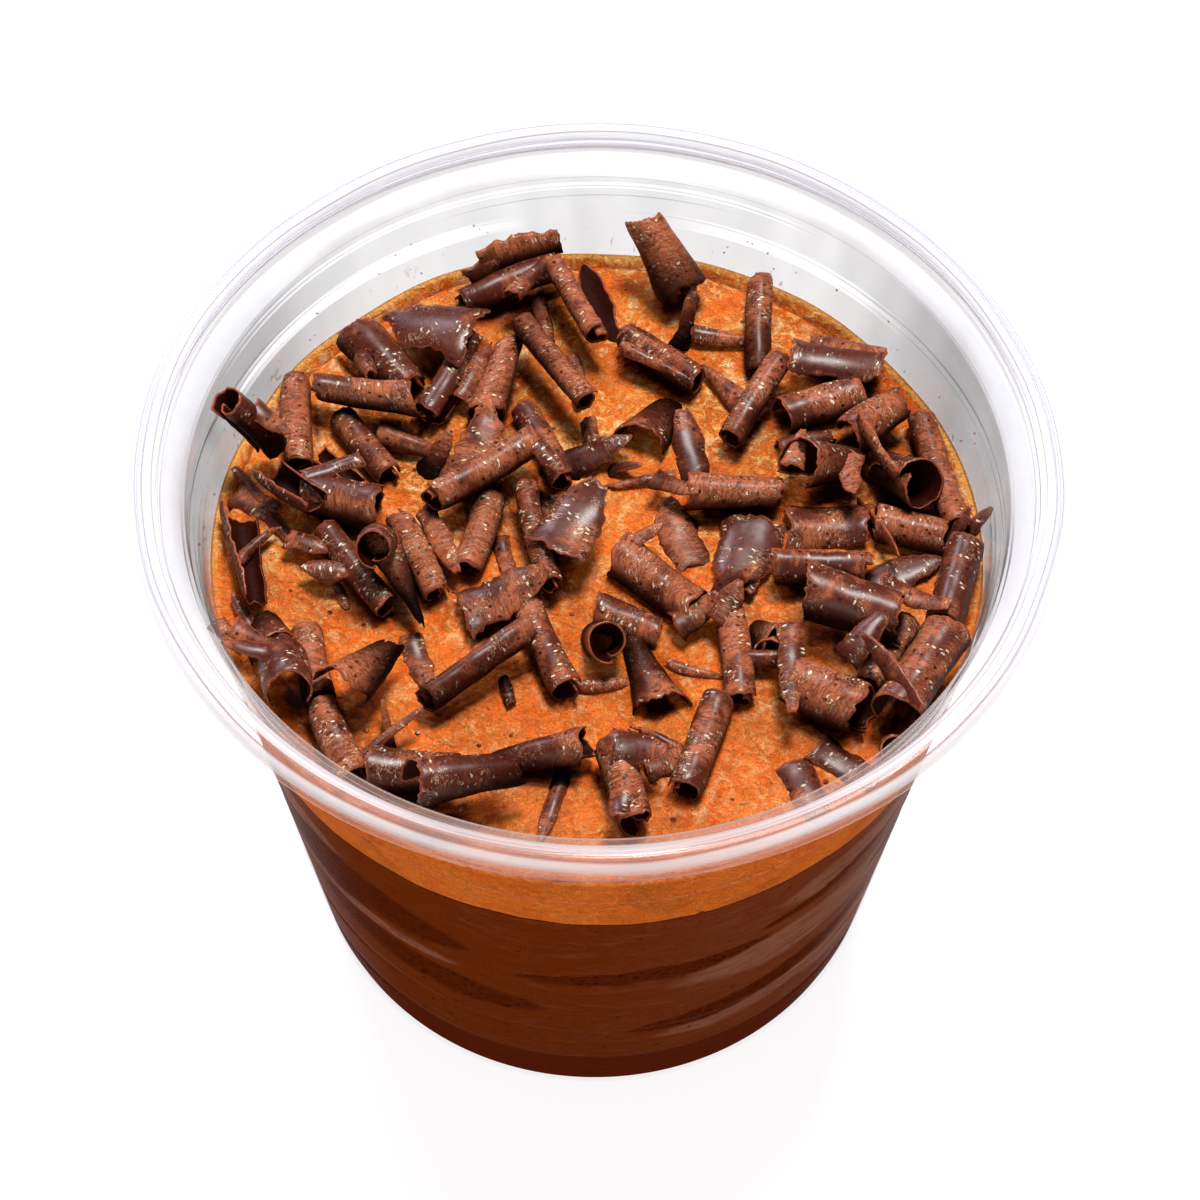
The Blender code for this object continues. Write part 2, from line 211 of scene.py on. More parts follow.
# Shards: heading, lean, seam, length, three widths from one end to the other, the bend's diameter.
SHARDS = [
    (161, -12, 0, 9.8, (9.0, 6.0, 1.0), 15.0),
    (75, 15, 0, 9.5, (6.0, 4.0, 0.8), 12.0),
    (75, 0, 0, 8.5, (3.0, 6.0, 7.5), 16.0),
    (3, 0, 0, 8.5, (7.0, 6.5, 5.0), 7.0),
    (-105, 0, 0, 8.0, (6.8, 5.4, 1.5), 16.0),
    (60, 6, 0, 8.2, (6.5, 5.2, 2.0), 14.0),
    (205, -15, 0, 9.5, (1.0, 4.5, 6.0), 14.0),
    (102, -22, 0, 6.5, (11.0, 8.5, 3.0), 5.0),
]

# Small rolls, too many for solids of their own: x and y (mm), then as the cones.
SMALL_ROLLS = [
    (-7.4, 32.0, 52, 0, 0, 6.5, 2.2, 0.65, 0.5),
    (31.5, 2.3, -15, 0, 0, 7.0, 4.2, 0.7, 0.1),
    (-30.6, 4.2, -38, 0, 180, 6.3, 3.6, 0.7, 0.1),
    (0.7, -12.0, 104, -52, 0, 6.0, 4.0, 1.0, 0.1),
    (3.0, -8.7, -25, 0, 0, 6.5, 4.0, 0.6, 0.1),
    (28.7, -24.3, 85, -58, 0, 3.6, 3.0, 1.0, 0.1),
    (17.5, -12.0, 70, -35, 30, 4.5, 3.6, 0.9, 0.2),
    (17.0, -13.6, 10, 0, 90, 5.0, 2.0, 1.1, 0.3),
    (-31.6, -11.4, 108, -18, 0, 4.8, 5.4, 0.55, 0.4),
    (-6.0, 28.5, -80, 0, 60, 6.5, 2.0, 1.1, 0.1),
    (-2.4, 21.0, -82, 0, 90, 6.0, 1.8, 1.1, 0.1),
    (13.0, 20.5, 130, 0, 60, 6.0, 3.0, 0.9, 0.7),
    (6.0, -22.8, 152, 4, 0, 5.0, 1.8, 0.9, 0.75),
    (5.0, 15.4, 62, -10, 0, 6.8, 6.2, 0.5, 0.5),
    (5.6, 22.0, -30, 0, 0, 8.0, 1.8, 0.9, 0.5),
    (-21.7, -4.4, 80, -45, 0, 4.2, 4.2, 1.0, 0.1),
    (-24.0, 20.6, -72, 22, 0, 3.6, 2.3, 0.7, 0.4),
    (17.4, -11.2, 125, -30, 0, 4.4, 4.6, 0.8, 0.5),
    (21.0, 13.0, 20, 0, 0, 5.0, 2.6, 0.8, 0.3),
    (12.7, 27.5, -8, 0, 90, 6.0, 2.2, 0.9, 0.4),
    (-26.8, 9.4, -40, 0, 170, 6.0, 2.8, 0.55, 0.3),
    (0.7, -16.1, 8, 0, 90, 4.8, 1.5, 1.0, 0.3),
    (9.7, -14.3, -14, 0, 90, 5.0, 1.5, 1.0, 0.5),
    (4.3, 8.7, 192, 0, 90, 6.5, 1.7, 1.0, 0.6),
    (-33.8, -1.0, 52, 0, 90, 5.5, 1.5, 1.0, 0.5),
    (-8.6, -17.4, -75, 0, 0, 3.2, 1.4, 0.8, 0.1),
    (-0.5, 13.5, -70, 0, 90, 4.0, 2.0, 0.9, 0.3),
    (-19.6, 13.4, -20, 0, 0, 6.0, 3.4, 0.8, 0.5),
]

# Small chips: x and y (mm), then as the shards.
SMALL_CHIPS = [
    (-34.4, -8.6, 120, 10, 0, 5.0, (2.4, 1.2, 0.3), 5.0),
    (-36.5, -10.6, -50, 6, 0, 4.5, (2.2, 1.6, 0.4), 6.0),
    (-34.0, -13.0, -30, 0, 0, 4.0, (2.5, 2.0, 0.8), 6.0),
    (-0.5, 10.5, 20, 14, 0, 8.0, (6.0, 3.2, 0.4), 7.0),
    (2.6, 10.0, -10, 30, 0, 4.5, (2.0, 1.1, 0.3), 5.0),
    (9.7, 13.0, 102, 10, 0, 7.8, (4.6, 3.6, 1.2), 7.0),
    (9.6, -9.2, 35, 10, 0, 5.5, (3.2, 2.6, 0.8), 5.0),
    (25.2, 6.6, -86, 4, 0, 5.2, (3.0, 2.2, 0.3), 5.0),
    (28.0, 9.6, -63, 0, 80, 8.0, (1.0, 2.4, 1.0), 6.0),
    (25.8, -14.2, 50, 10, 0, 6.5, (3.5, 2.5, 0.6), 6.0),
    (4.2, -26.0, -12, 8, 0, 5.5, (3.8, 3.0, 0.6), 8.0),
    (-33.6, -16.2, 172, 5, 0, 5.0, (2.4, 1.6, 0.3), 5.0),
    (19.6, 9.4, 75, 0, 0, 4.5, (2.6, 1.8, 0.5), 5.0),
    (7.6, 6.6, -30, 12, 0, 5.0, (2.4, 2.0, 0.6), 5.0),
    (12.6, -8.6, 62, 16, 0, 5.0, (3.2, 2.4, 0.6), 5.0),
    (24.3, 21.8, -8, 0, 0, 9.5, (4.5, 4.2, 3.0), 7.0),
    (8.8, 2.0, 110, 6, 0, 8.5, (5.0, 4.2, 1.0), 9.0),
    (12.0, -5.3, 75, 22, 0, 5.0, (4.0, 2.4, 0.3), 5.0),
    (14.2, -4.6, 20, 30, 0, 4.0, (2.4, 1.4, 0.3), 5.0),
    (30.2, -3.3, 23, 4, 0, 9.0, (4.0, 3.6, 0.8), 12.0),
    (28.0, 1.5, -65, 18, 90, 8.5, (2.5, 1.8, 0.4), 9.0),
    (31.0, -7.5, -20, 0, 0, 7.0, (3.0, 2.4, 1.2), 8.0),
    (0.0, 31.6, -71, 0, 200, 11.5, (0.6, 3.2, 0.9), 6.0),
    (-8.5, 35.0, 20, 0, 60, 9.0, (3.0, 3.6, 2.0), 7.0),
    (-12.0, 33.4, 40, 20, 50, 5.0, (3.0, 2.0, 0.5), 7.0),
    (8.5, 28.6, 76, 32, 20, 6.5, (2.6, 1.7, 0.3), 3.0),
    (-33.6, 4.6, -56, 0, 0, 12.0, (0.8, 1.6, 0.5), 3.0),
    (-33.0, 9.5, -40, 0, 0, 5.0, (2.4, 2.0, 0.5), 6.0),
    (-34.5, 5.3, -30, 0, 0, 5.0, (3.0, 3.0, 2.0), 8.0),
    (-26.6, 6.8, 24, 0, 0, 6.5, (0.5, 1.8, 0.5), 4.0),
    (-17.0, 11.0, 60, 30, 0, 5.5, (4.5, 2.0, 0.3), 6.0),
    (-29.0, -0.5, -20, 0, 0, 4.5, (2.6, 2.4, 1.0), 6.0),
    (-27.0, -4.0, -6, 5, 0, 4.2, (0.5, 2.3, 1.6), 4.0),
    (-25.4, -5.6, -66, 0, 0, 3.4, (1.0, 1.2, 0.4), 4.0),
    (-15.8, -0.5, -65, 0, 20, 8.5, (2.2, 2.5, 0.5), 4.0),
    (-13.0, 20.5, 70, 0, 20, 7.5, (2.2, 2.2, 0.5), 4.0),
    (-9.4, -1.4, -77, 0, 0, 5.5, (2.4, 1.8, 0.5), 4.0),
    (-5.4, 8.2, -50, 0, 0, 4.5, (2.4, 1.8, 0.5), 4.0),
    (4.8, -0.2, 30, 10, 0, 3.6, (2.0, 1.4, 0.4), 4.0),
    (35.8, 1.6, 60, 25, 0, 4.5, (2.6, 1.4, 0.3), 4.0),
    (38.0, 3.6, 40, 20, 0, 3.5, (2.0, 1.2, 0.3), 4.0),
    (-3.8, -30.5, -105, 0, 0, 8.5, (1.6, 1.8, 0.3), 2.6),
    (6.4, -26.0, 20, 12, 0, 4.0, (4.0, 2.6, 0.5), 6.0),
    (2.8, -32.5, -100, 0, 0, 3.0, (3.0, 2.4, 1.2), 4.0),
    (-17.5, -13.7, -72, 0, 0, 6.0, (2.0, 2.5, 1.4), 9.0),
    (-19.8, -22.5, 104, 25, 0, 6.0, (1.6, 1.1, 0.3), 2.0),
    (-20.0, -24.0, 40, 8, 0, 7.5, (1.0, 0.9, 0.3), 2.0),
    (28.5, -18.5, -58, 0, 40, 10.5, (0.6, 1.8, 0.8), 5.0),
    (19.0, -16.4, -90, 0, 0, 10.5, (3.6, 2.4, 1.0), 5.0),
    (19.8, -28.0, -65, 0, 0, 6.0, (4.0, 3.6, 2.0), 8.0),
    (24.0, -25.0, -35, 0, 0, 7.0, (3.5, 3.2, 1.6), 12.0),
]

# Crumbs on the mousse and specks on the wall: how many, where and how large.
CRUMBS = 40
CRUMB_REACH = 36 * MM
CRUMB_SIZES = (0.25 * MM, 0.8 * MM)
SPECKS = 46
SPECK_SIZES = (0.12 * MM, 0.28 * MM)
SPECK_HEIGHTS = (58.5 * MM, 63.5 * MM)

# The shade in the heap. Rays look for shavings near a point, in directions that lean towards the back,
# as the main lights do.
TOP_LIFT = 0.3 * MM  # how far off the mousse, and off a shaving's sheet, a ray sets out
SHEET_LIFT = -0.5 * MM
SHELTER_START = 1.6 * MM  # how far along the ray it starts to look, and how far it goes on
SHELTER_REACH = 9 * MM
FULL_SHADE = 3.4 * MM  # how tall a shaving is whose foot is fully shaded
FLAT_SHADE = 0.35  # the share of that shade which the flat ones take
SKY_LEAN = Matrix.Rotation(radians(-30), 3, "X")
SKY_RINGS = ((radians(70), 4), (radians(52), 6))  # elevations, and how many rays at each
SKY = [SKY_LEAN @ Vector((0, 0, 1))] + [
    SKY_LEAN @ Vector((cos(rise) * cos(turn * tau / rays), cos(rise) * sin(turn * tau / rays), sin(rise)))
    for rise, rays in SKY_RINGS
    for turn in range(rays)
]

# The view: from above the front, at the distance and focal length of a short tele lens.
VIEW_ELEVATION = radians(54.66)
VIEW_DISTANCE = 416.8 * MM
VIEW_TARGET = Vector((0.35, 0.0, 47.93)) * MM
VIEW_ROLL = radians(0.734)
VIEW_LENS = 122.92  # on a sensor 36 wide

# The lights: name, place and size, in metres, and colour. They aim at the middle of the cup.
LIGHTS = (
    ("key", (0.12, 0.35, 1.1), 0.35, (1.0, 0.985, 0.96)),
    ("back", (-0.4, 0.9, 0.75), 0.35, (0.86, 0.84, 1.0)),
    ("fill", (-0.3, -0.95, 0.6), 0.7, (1.0, 0.985, 0.97)),
)
AIM = Vector((0, 0, 0.05))
DOME_COLOUR = (0.97, 0.98, 1.0, 1.0)
FLOOR_RADIUS = 3.0


class Signal:
    """A node's output that Python's operators work on. Each operator adds a Math node."""

    def __init__(self, finish, socket):
        self.finish = finish
        self.socket = socket

    def math(self, operation, *values):
        settings = {"operation": operation}
        return self.finish.add("ShaderNodeMath", settings, dict(enumerate(values)))

    def __add__(self, other):
        return self.math("ADD", self, other)

    def __radd__(self, other):
        return self.math("ADD", other, self)

    def __sub__(self, other):
        return self.math("SUBTRACT", self, other)

    def __rsub__(self, other):
        return self.math("SUBTRACT", other, self)

    def __mul__(self, other):
        return self.math("MULTIPLY", self, other)

    def __rmul__(self, other):
        return self.math("MULTIPLY", other, self)

    def __pow__(self, other):
        return self.math("POWER", self, other)

    def __abs__(self):
        return self.math("ABSOLUTE", self)

    def ramp(self, low, high, start=0.0, end=1.0):
        """Start up to low, end from high, and a smooth rise between."""
        settings = {"interpolation_type": "SMOOTHSTEP"}
        sockets = {0: self, 1: low, 2: high, 3: start, 4: end}
        return self.finish.add("ShaderNodeMapRange", settings, sockets)

    def fall(self, low, high):
        """1 up to low, 0 from high, and a smooth fall between."""
        return self.ramp(low, high, 1.0, 0.0)


class Finish:
    """A material under construction."""

    def __init__(self, name):
        self.material = bpy.data.materials.new(name)
        self.material.use_nodes = True
        self.nodes = self.material.node_tree.nodes
        self.links = self.material.node_tree.links
        self.nodes.clear()

    def add(self, kind, settings, sockets, output=0):
        """A node of that kind. Its settings come first, then its sockets' values or links."""
        node = self.nodes.new(kind)
        for name, value in settings.items():
            setattr(node, name, value)
        for name, value in sockets.items():
            if isinstance(value, Signal):
                self.links.new(value.socket, node.inputs[name])
            else:
                node.inputs[name].default_value = value
        return Signal(self, node.outputs[output]) if node.outputs else node

    def place(self, scale=(1000, 1000, 1000)):
        """Object coordinates, in millimetres unless the axes are stretched."""
        return self.stretch(self.add("ShaderNodeTexCoord", {}, {}, "Object"), scale)

    def attribute(self, name, output="Fac"):
        return self.add("ShaderNodeAttribute", {"attribute_name": name}, {}, output)

    def stretch(self, vector, scale):
        return self.add("ShaderNodeMapping", {}, {"Vector": vector, "Scale": scale})

    def axis(self, vector, name):
        return self.add("ShaderNodeSeparateXYZ", {}, {"Vector": vector}, name)

    def from_axis(self, vector):
        """How far a point stands from the cup's axis."""
        flat = self.stretch(vector, (1, 1, 0))
        return self.add("ShaderNodeVectorMath", {"operation": "LENGTH"}, {0: flat}, "Value")

    def noise(self, vector, scale, detail=2.0, rough=0.5, distort=0.0):
        sockets = {"Vector": vector, "Scale": scale, "Detail": detail, "Roughness": rough}
        sockets["Distortion"] = distort
        return self.add("ShaderNodeTexNoise", {}, sockets, "Fac")

    def cells(self, vector, scale):
        sockets = {"Vector": vector, "Scale": scale}
        return self.add("ShaderNodeTexVoronoi", {"feature": "F1"}, sockets, "Distance")

    def band(self, value, low, high, soft):
        """1 between low and high, with soft ends."""
        return value.ramp(low - soft, low + soft) * value.fall(high - soft, high + soft)

    def mix(self, mask, first, second):
        return self.add("ShaderNodeMix", {"data_type": "RGBA"}, {0: mask, 6: first, 7: second}, 2)

    def coats(self, colour, *coats):
        """The colour under coats of others, each with its mask and laid on in that order."""
        for mask, paint in coats:
            colour = self.mix(mask, colour, paint)
        return colour

    def bump(self, height, distance, strength):
        sockets = {"Height": height, "Distance": distance, "Strength": strength}
        return self.add("ShaderNodeBump", {}, sockets)

    def principled(self, sockets):
        return self.add("ShaderNodeBsdfPrincipled", {}, sockets)

    def done(self, shader):
        self.add("ShaderNodeOutputMaterial", {}, {"Surface": shader})
        return self.material


def rgb(colour, factor=1):
    """A colour with its alpha, made darker or brighter by a factor."""
    return (*(channel * factor for channel in colour), 1.0)


Colour = partial(FloatVectorProperty, subtype="COLOR", size=3)
Length = partial(FloatProperty, unit="LENGTH")
Power = partial(FloatProperty, unit="POWER")


class CupSettings(bpy.types.PropertyGroup):
    """The clear cup."""

    sheet: Length(name="Sheet", description="Thickness of the plastic", default=SHEET)
    tint: Colour(name="Tint", description="What the plastic lets through", default=(0.97, 0.97, 0.973))
    mist: Colour(name="Mist", description="The misted wall above the mousse", default=(0.20, 0.195, 0.20))
    lavender: Colour(name="Lavender", description="The rolled rim", default=(0.62, 0.61, 0.76))
    # Painted light: bright is the rim's painted highlight, line the painted dark lines of the rim and the
    # wall, beige a painted band at the fold under the rim.
    bright: Colour(name="Bright", description="The bright bands of the rim", default=(0.90, 0.89, 0.92))
    line: Colour(name="Line", description="Thin lines of the rim and the wall", default=(0.13, 0.12, 0.16))
    beige: Colour(name="Beige", description="The fold under the rim", default=(0.42, 0.34, 0.30))
    # Painted reflection of the mousse in the rim in front.
    peach_reflection: Colour(name="Peach", description="The warm tint of the rim in front", default=(0.80, 0.31, 0.13))
    shade: Colour(name="Shade", description="Where it is seen edge on", default=(0.34, 0.325, 0.335))
    smear: Colour(name="Smear", description="Mousse smeared on the wall", default=(0.50, 0.27, 0.14))
    steps: IntProperty(name="Steps", description="Flats round the cup", default=240)


class FillingSettings(bpy.types.PropertyGroup):
    """The two mousses."""

    light: Colour(name="Light mousse", description="The upper mousse", default=(0.90, 0.125, 0.0045))
    warm: Colour(name="Warm mousse", description="Its slightly paler parts", default=(0.95, 0.185, 0.015))
    # pale and cream: foamier streaks and bubbles, partly painted highlights; pale also paints the lit lip.
    pale: Colour(name="Pale mousse", description="Its foamier streaks", default=(1.0, 0.44, 0.095))
    cream_and_highlight: Colour(name="Cream", description="Its palest bubbles", default=(0.98, 0.74, 0.42))
    deep: Colour(name="Deep mousse", description="Its pores and shadows", default=(0.33, 0.038, 0.001))
    dark: Colour(name="Dark mousse", description="The lower mousse", default=(0.110, 0.0165, 0.0012))
    gap: Colour(name="Gaps", description="Hollow bands of the lower mousse", default=(0.055, 0.0060, 0.0006))
    heel: Colour(name="Heel", description="The lower mousse by the base", default=(0.080, 0.0090, 0.0020))
    # Milky bands, and a painted reflection on the lower mousse's right side.
    milk: Colour(name="Milky", description="Pale bands of the lower mousse", default=(0.30, 0.140, 0.090))
    steps: IntProperty(name="Steps", description="Flats round the filling", default=320)


class CurlSettings(bpy.types.PropertyGroup):
    """The chocolate shavings."""

    sheet: Length(name="Sheet", description="Thickness of a shaving", default=SHAVING)
    cell: Length(name="Cell", description="Size of a face along a shaving", default=0.38 * MM)
    colour: Colour(name="Chocolate", description="Base colour", default=(0.115, 0.017, 0.006))
    worn: Colour(name="Worn", description="Scraped, paler chocolate", default=(0.46, 0.122, 0.050))
    tan: Colour(name="Tan", description="Wrinkles and dust", default=(0.95, 0.60, 0.38))
    # Painted glow of light through the thin edges.
    edge: Colour(name="Edge", description="Thin broken edges", default=(0.42, 0.095, 0.040))
    # Pale flecks of bloom, partly painted glints.
    fleck_and_glint: Colour(name="Fleck", description="Pale flecks", default=(0.95, 0.76, 0.52))


class StageSettings(bpy.types.PropertyGroup):
    """The floor and lights."""

    floor: Colour(name="Floor", description="Colour of the floor", default=(0.5, 0.5, 0.5))
    glow: FloatProperty(name="Glow", description="Light from the floor itself", default=0.86)
    key: Power(name="Key", description="Power of the large light above", default=14.5)
    back: Power(name="Back", description="Power of the small light behind", default=5.0)
    fill: Power(name="Fill", description="Power of the light in front", default=2.5)
    dome: FloatProperty(name="Dome", description="Strength of the light all round", default=0.12)


def clear_plastic(cup):
    """Clear over the mousse, misted above it, with pale and grey bands round the rolled rim. These bands,
    the clear bands and grey lines on the wall, the mousse's warm tint in the rim in front and the grey where
    it is seen edge on are painted highlights, lines and reflections.
    """
    f = Finish("cup_plastic")
    here = f.place()
    height = f.axis(here, "Z")
    radius = f.from_axis(here)
    up = height - (CUP_HEIGHT - BEAD_RADIUS) / MM
    out = radius - (RIM_RADIUS - BEAD_RADIUS) / MM
    round_bead = up.math("WRAP", up.math("ARCTAN2", up, out) * (180 / pi), 240, -120)
    drift = f.noise(f.stretch(here, (0.04, 0.04, 0)), 1.0, 1.0, 0.6)
    turn = round_bead + 44 * (drift - 0.5)
    sideways = f.axis(here, "X")
    turned = sideways.math("ARCTAN2", sideways, f.axis(here, "Y")) * (180 / pi)
    bead = height.ramp(*RIM_FADE)
    # Painted: the mist starts lower at the sides.
    mist = (height + abs(turned).ramp(45, 95, 0.0, 0.3)).ramp(*MIST_FADE) * (1 - bead)
    edge_on = f.add("ShaderNodeLayerWeight", {}, {"Blend": 0.5}, "Facing").ramp(0.72, 1.0) ** 1.5
    # Painted bands round the bead: highlights, thin dark lines and a beige band at the fold. shine makes the
    # painted highlight fainter in front.
    rim_highlight = f.band(turn, 20, 60, 8) + f.band(turn, 100, 146, 8)
    lines = f.band(turn, 63, 67, 3) + f.band(turn, 86, 90, 3)
    lines = lines + f.band(turn, 120, 123, 3) + f.band(turn, 150, 154, 3)
    beige = f.band(turn, 176, 206, 6)
    beyond = radius - CONE_RADIUS / MM - CONE_SLOPE * height - height.ramp(62.6, 64.7, 0.0, 0.5)
    outer = beyond.ramp(-0.25, -0.2)
    # side and front: the wall's mist is painted heavier at the sides and lighter in front, a painted
    # reflection; front also places the rim's painted reflection of the mousse.
    side = f.band(abs(turned), 50, 122, 18)
    front = abs(turned).ramp(105, 150)
    shine = abs(turned).ramp(146, 168, 1.0, 0.6)
    # Painted highlights and reflections on the wall: clear bands with less mist, and thin grey lines summed
    # in steps.
    clear = 0
    for middle, half, left, right in PAINTED_CLEAR_BANDS:
        level = f.band(height, middle - half, middle + half, 0.12)
        clear = level * f.band(turned, left, right, 9) + clear
    steps = 0
    for start, end, half, left, right in PAINTED_GREY_LINES:
        level = height - (turned - left) * ((end - start) / (right - left))
        line = outer * f.band(level, start - half, start + half, 0.07)
        steps = line * f.band(turned, left, right, 7) + steps
    rings = 0
    for level in WALL_RINGS[:3]:
        rings = f.band(height, level / MM - 0.08, level / MM + 0.12, 0.14) + rings
    smear = f.noise(f.place((700, 700, 260)), 1.0, 2.0, 0.6, 0.8).ramp(0.66, 0.72)
    smear = smear * height.fall(56.2, 60.5) * mist
    streak = f.noise(f.place((260, 260, 12)), 1.0, 1.0, 0.6)
    colour = f.mix(bead, rgb(cup.mist), rgb(cup.lavender))
    colour = f.coats(
        colour,
        # The rim in front: the mousse's painted reflection.
        (0.55 * bead * front, rgb(cup.peach_reflection)),
        # Painted highlights, dark lines and beige band of the rim.
        (bead * rim_highlight, rgb(cup.bright)),
        (0.45 * bead * front * (1 - rim_highlight), rgb(cup.peach_reflection)),
        (0.85 * bead * lines, rgb(cup.line)),
        (0.8 * bead * beige, rgb(cup.beige)),
        # Painted grey lines on the wall.
        (0.7 * steps * (1 - bead), rgb(cup.line)),
        (rings, rgb(cup.lavender)),
        (0.9 * smear, rgb(cup.smear)),
        # Painted grey where the plastic is seen edge on.
        (0.6 * edge_on, rgb(cup.shade)),
    )
    share = bead * (0.15 + 0.46 * rim_highlight * shine + 0.5 * lines + 0.3 * beige)
    # Painted reflection: more mist at the sides and less in front.
    share = share + mist * (0.21 + 0.1 * streak + 0.24 * side) * (1 - 0.75 * front)
    share = share * (1 - clear.math("MINIMUM", clear, 1.0))
    share = share + 0.26 * steps * (1 - bead) + 0.06 * rings + 0.5 * smear
    share = share + edge_on * height.ramp(56.1, 57.0, 0.12, 0.85)
    share = share.math("MINIMUM", share + 0.004, 0.96)
    share = share * (1 - 0.8 * f.add("ShaderNodeLightPath", {}, {}, "Is Shadow Ray"))
    body = f.principled({"Base Color": colour, "Roughness": 0.14, "IOR": 1.5})
    through = f.add("ShaderNodeBsdfTransparent", {}, {"Color": rgb(cup.tint)})
    return f.done(f.add("ShaderNodeMixShader", {}, {0: share, 1: through, 2: body}))


def light_mousse(filling):
    """Foamy: worm-like strokes, pits, and paler streaks towards the back, partly painted highlights. A pale
    lip at the wall, painted as if lit, with painted shade in its crack; painted highlights and shadows by
    the shavings, and painted shade where they hide the sky.
    """
    f = Finish("foamy_mousse")
    here = f.place()
    height = f.axis(here, "Z")
    radius = f.from_axis(here)
    away = (CONE_RADIUS / MM - 0.2 + CONE_SLOPE * height) - radius
    back = f.axis(here, "Y").ramp(-16, 12)
    top = height.ramp(*TOP_FADE)
    near = f.attribute("near")
    broad = f.noise(here, 0.17, 2.0, 0.55, 0.7)
    strokes = f.noise(here, 0.62, 2.0, 0.5, 1.5)
    fine = f.noise(here, 1.35, 2.0, 0.5, 2.4)
    worms = abs(fine - 0.5).fall(0.012, 0.07)
    patches = f.noise(f.stretch(here, (1.0, 1.0, 0.4)), 0.24, 2.0, 0.5, 0.5)
    # Foam, more of it towards the back: partly the mousse's own foam, partly painted highlights.
    foam_and_highlight = (0.3 + 0.7 * back) * patches.ramp(0.36, 0.54) * (0.35 + 0.65 * top)
    pits = f.cells(f.stretch(here, (0.40, 0.40, 0.40)), 1.0).fall(0.06, 0.13)
    pits = pits * f.noise(here, 0.31, 1.0).ramp(0.50, 0.60)
    pores = f.cells(here, 1.5).fall(0.08, 0.22) * f.noise(here, 0.5, 1.0).ramp(0.52, 0.66)
    colour = f.mix(broad.ramp(0.30, 0.72), rgb(filling.light), rgb(filling.warm))
    colour = f.coats(
        colour,
        (0.5 * f.noise(here, 0.12, 2.0, 0.5, 0.6).ramp(0.48, 0.66), rgb(filling.deep)),
        (0.75 * foam_and_highlight * strokes.ramp(0.46, 0.6), rgb(filling.pale)),
        (0.8 * foam_and_highlight * strokes.ramp(0.58, 0.72), rgb(filling.cream_and_highlight)),
        ((0.35 + 0.4 * foam_and_highlight) * worms * (0.3 + 0.7 * top), rgb(filling.pale)),
        (0.2 * strokes.fall(0.30, 0.44), rgb(filling.deep)),
        # Painted light: the lip at the back painted pale, as if lit through the wall.
        (top * back * away.ramp(0.5, 0.95, 0.85, 0.0), rgb(filling.pale)),
        # Painted shade in the crack inside the lip.
        (0.8 * top * back * f.band(away, 1.05, 1.5, 0.2), rgb(filling.deep)),
        # Painted highlight where the mousse climbs the shavings, and painted shadow right by them.
        (0.25 * top * f.band(near, 0.05, 0.3, 0.1) * strokes.ramp(0.4, 0.6), rgb(filling.cream_and_highlight)),
        (0.5 * top * near.ramp(0.45, 0.95), rgb(filling.deep)),
    )
    hidden = f.attribute("hidden")
    colour = f.coats(
        colour,
        # Painted shade, and black shadow, where the shavings hide the sky above.
        (0.8 * top * hidden.ramp(0.35, 0.8), rgb(filling.deep)),
        (0.95 * top * hidden.ramp(0.6, 0.92), rgb(filling.deep, 0.05)),
        (0.42 * (1 - top), rgb(filling.deep)),
        (0.12 * (1 - top), rgb(filling.pale)),
        (0.45 * pores, rgb(filling.deep)),
        (0.9 * pits, rgb(filling.deep, 0.5)),
    )
    relief = strokes * 0.9 + fine * 0.4 + worms * 0.2 - pits * 0.9 - pores * 0.2
    sockets = {
        "Base Color": colour,
        "Roughness": strokes.ramp(0.3, 0.7, 0.55, 0.36),
        "Specular IOR Level": 0.0,
        "Coat Weight": 0.07 * top,
        "Coat Roughness": 0.45,
        "Normal": f.bump(relief, 0.6 * MM, 1.0),
    }
    return f.done(f.principled(sockets))


def dark_mousse(filling):
    """Pressed against the wall in slanting bands, some dense and some full of holes."""
    f = Finish("pressed_mousse")
    here = f.place()
    hollow = f.attribute("hollow")
    height = f.axis(here, "Z")
    milk = f.attribute("milk")
    streak = f.noise(f.place((200, 200, 1300)), 1.0, 4.0, 0.6, 0.5)
    line = abs(f.noise(f.place((70, 70, 520)), 1.0, 2.0, 0.5, 0.8) - 0.5).fall(0.0, 0.02)
    grain = f.noise(here, 2.2, 4.0, 0.65)
    holes = f.cells(here, 1.3).fall(0.16, 0.4)
    rare = f.cells(here, 0.6).fall(0.10, 0.2) * f.noise(here, 0.3, 1.0).ramp(0.5, 0.6)
    colour = f.mix(0.35 * streak.ramp(0.45, 0.75), rgb(filling.dark), rgb(filling.dark, 1.5))
    colour = f.coats(
        colour,
        # Milky bands, and a painted reflection towards the right.
        (milk * streak.ramp(0.25, 0.65, 0.25, 0.65), rgb(filling.milk)),
        (0.10 * line, rgb(filling.milk)),
        (0.3 * grain.ramp(0.46, 0.62), rgb(filling.dark, 1.7)),
        (hollow * (0.55 + 0.45 * grain.ramp(0.35, 0.6)), rgb(filling.gap)),
        (hollow * f.cells(here, 1.0).ramp(0.0, 0.5, 0.0, 0.3), rgb(filling.dark)),
        (0.8 * holes * hollow, rgb(filling.gap, 0.3)),
        (0.7 * rare, rgb(filling.gap, 0.3)),
        (height.ramp(8.6, 9.4, 0.8, 0.0), rgb(filling.heel)),
    )
    relief = grain * (0.2 + hollow) - holes * 0.5
    sockets = {
        "Base Color": colour,
        "Roughness": 0.8,
        "Specular IOR Level": 0.0,
        "Normal": f.bump(relief, 0.25 * MM, 0.7),
    }
    return f.done(f.principled(sockets))


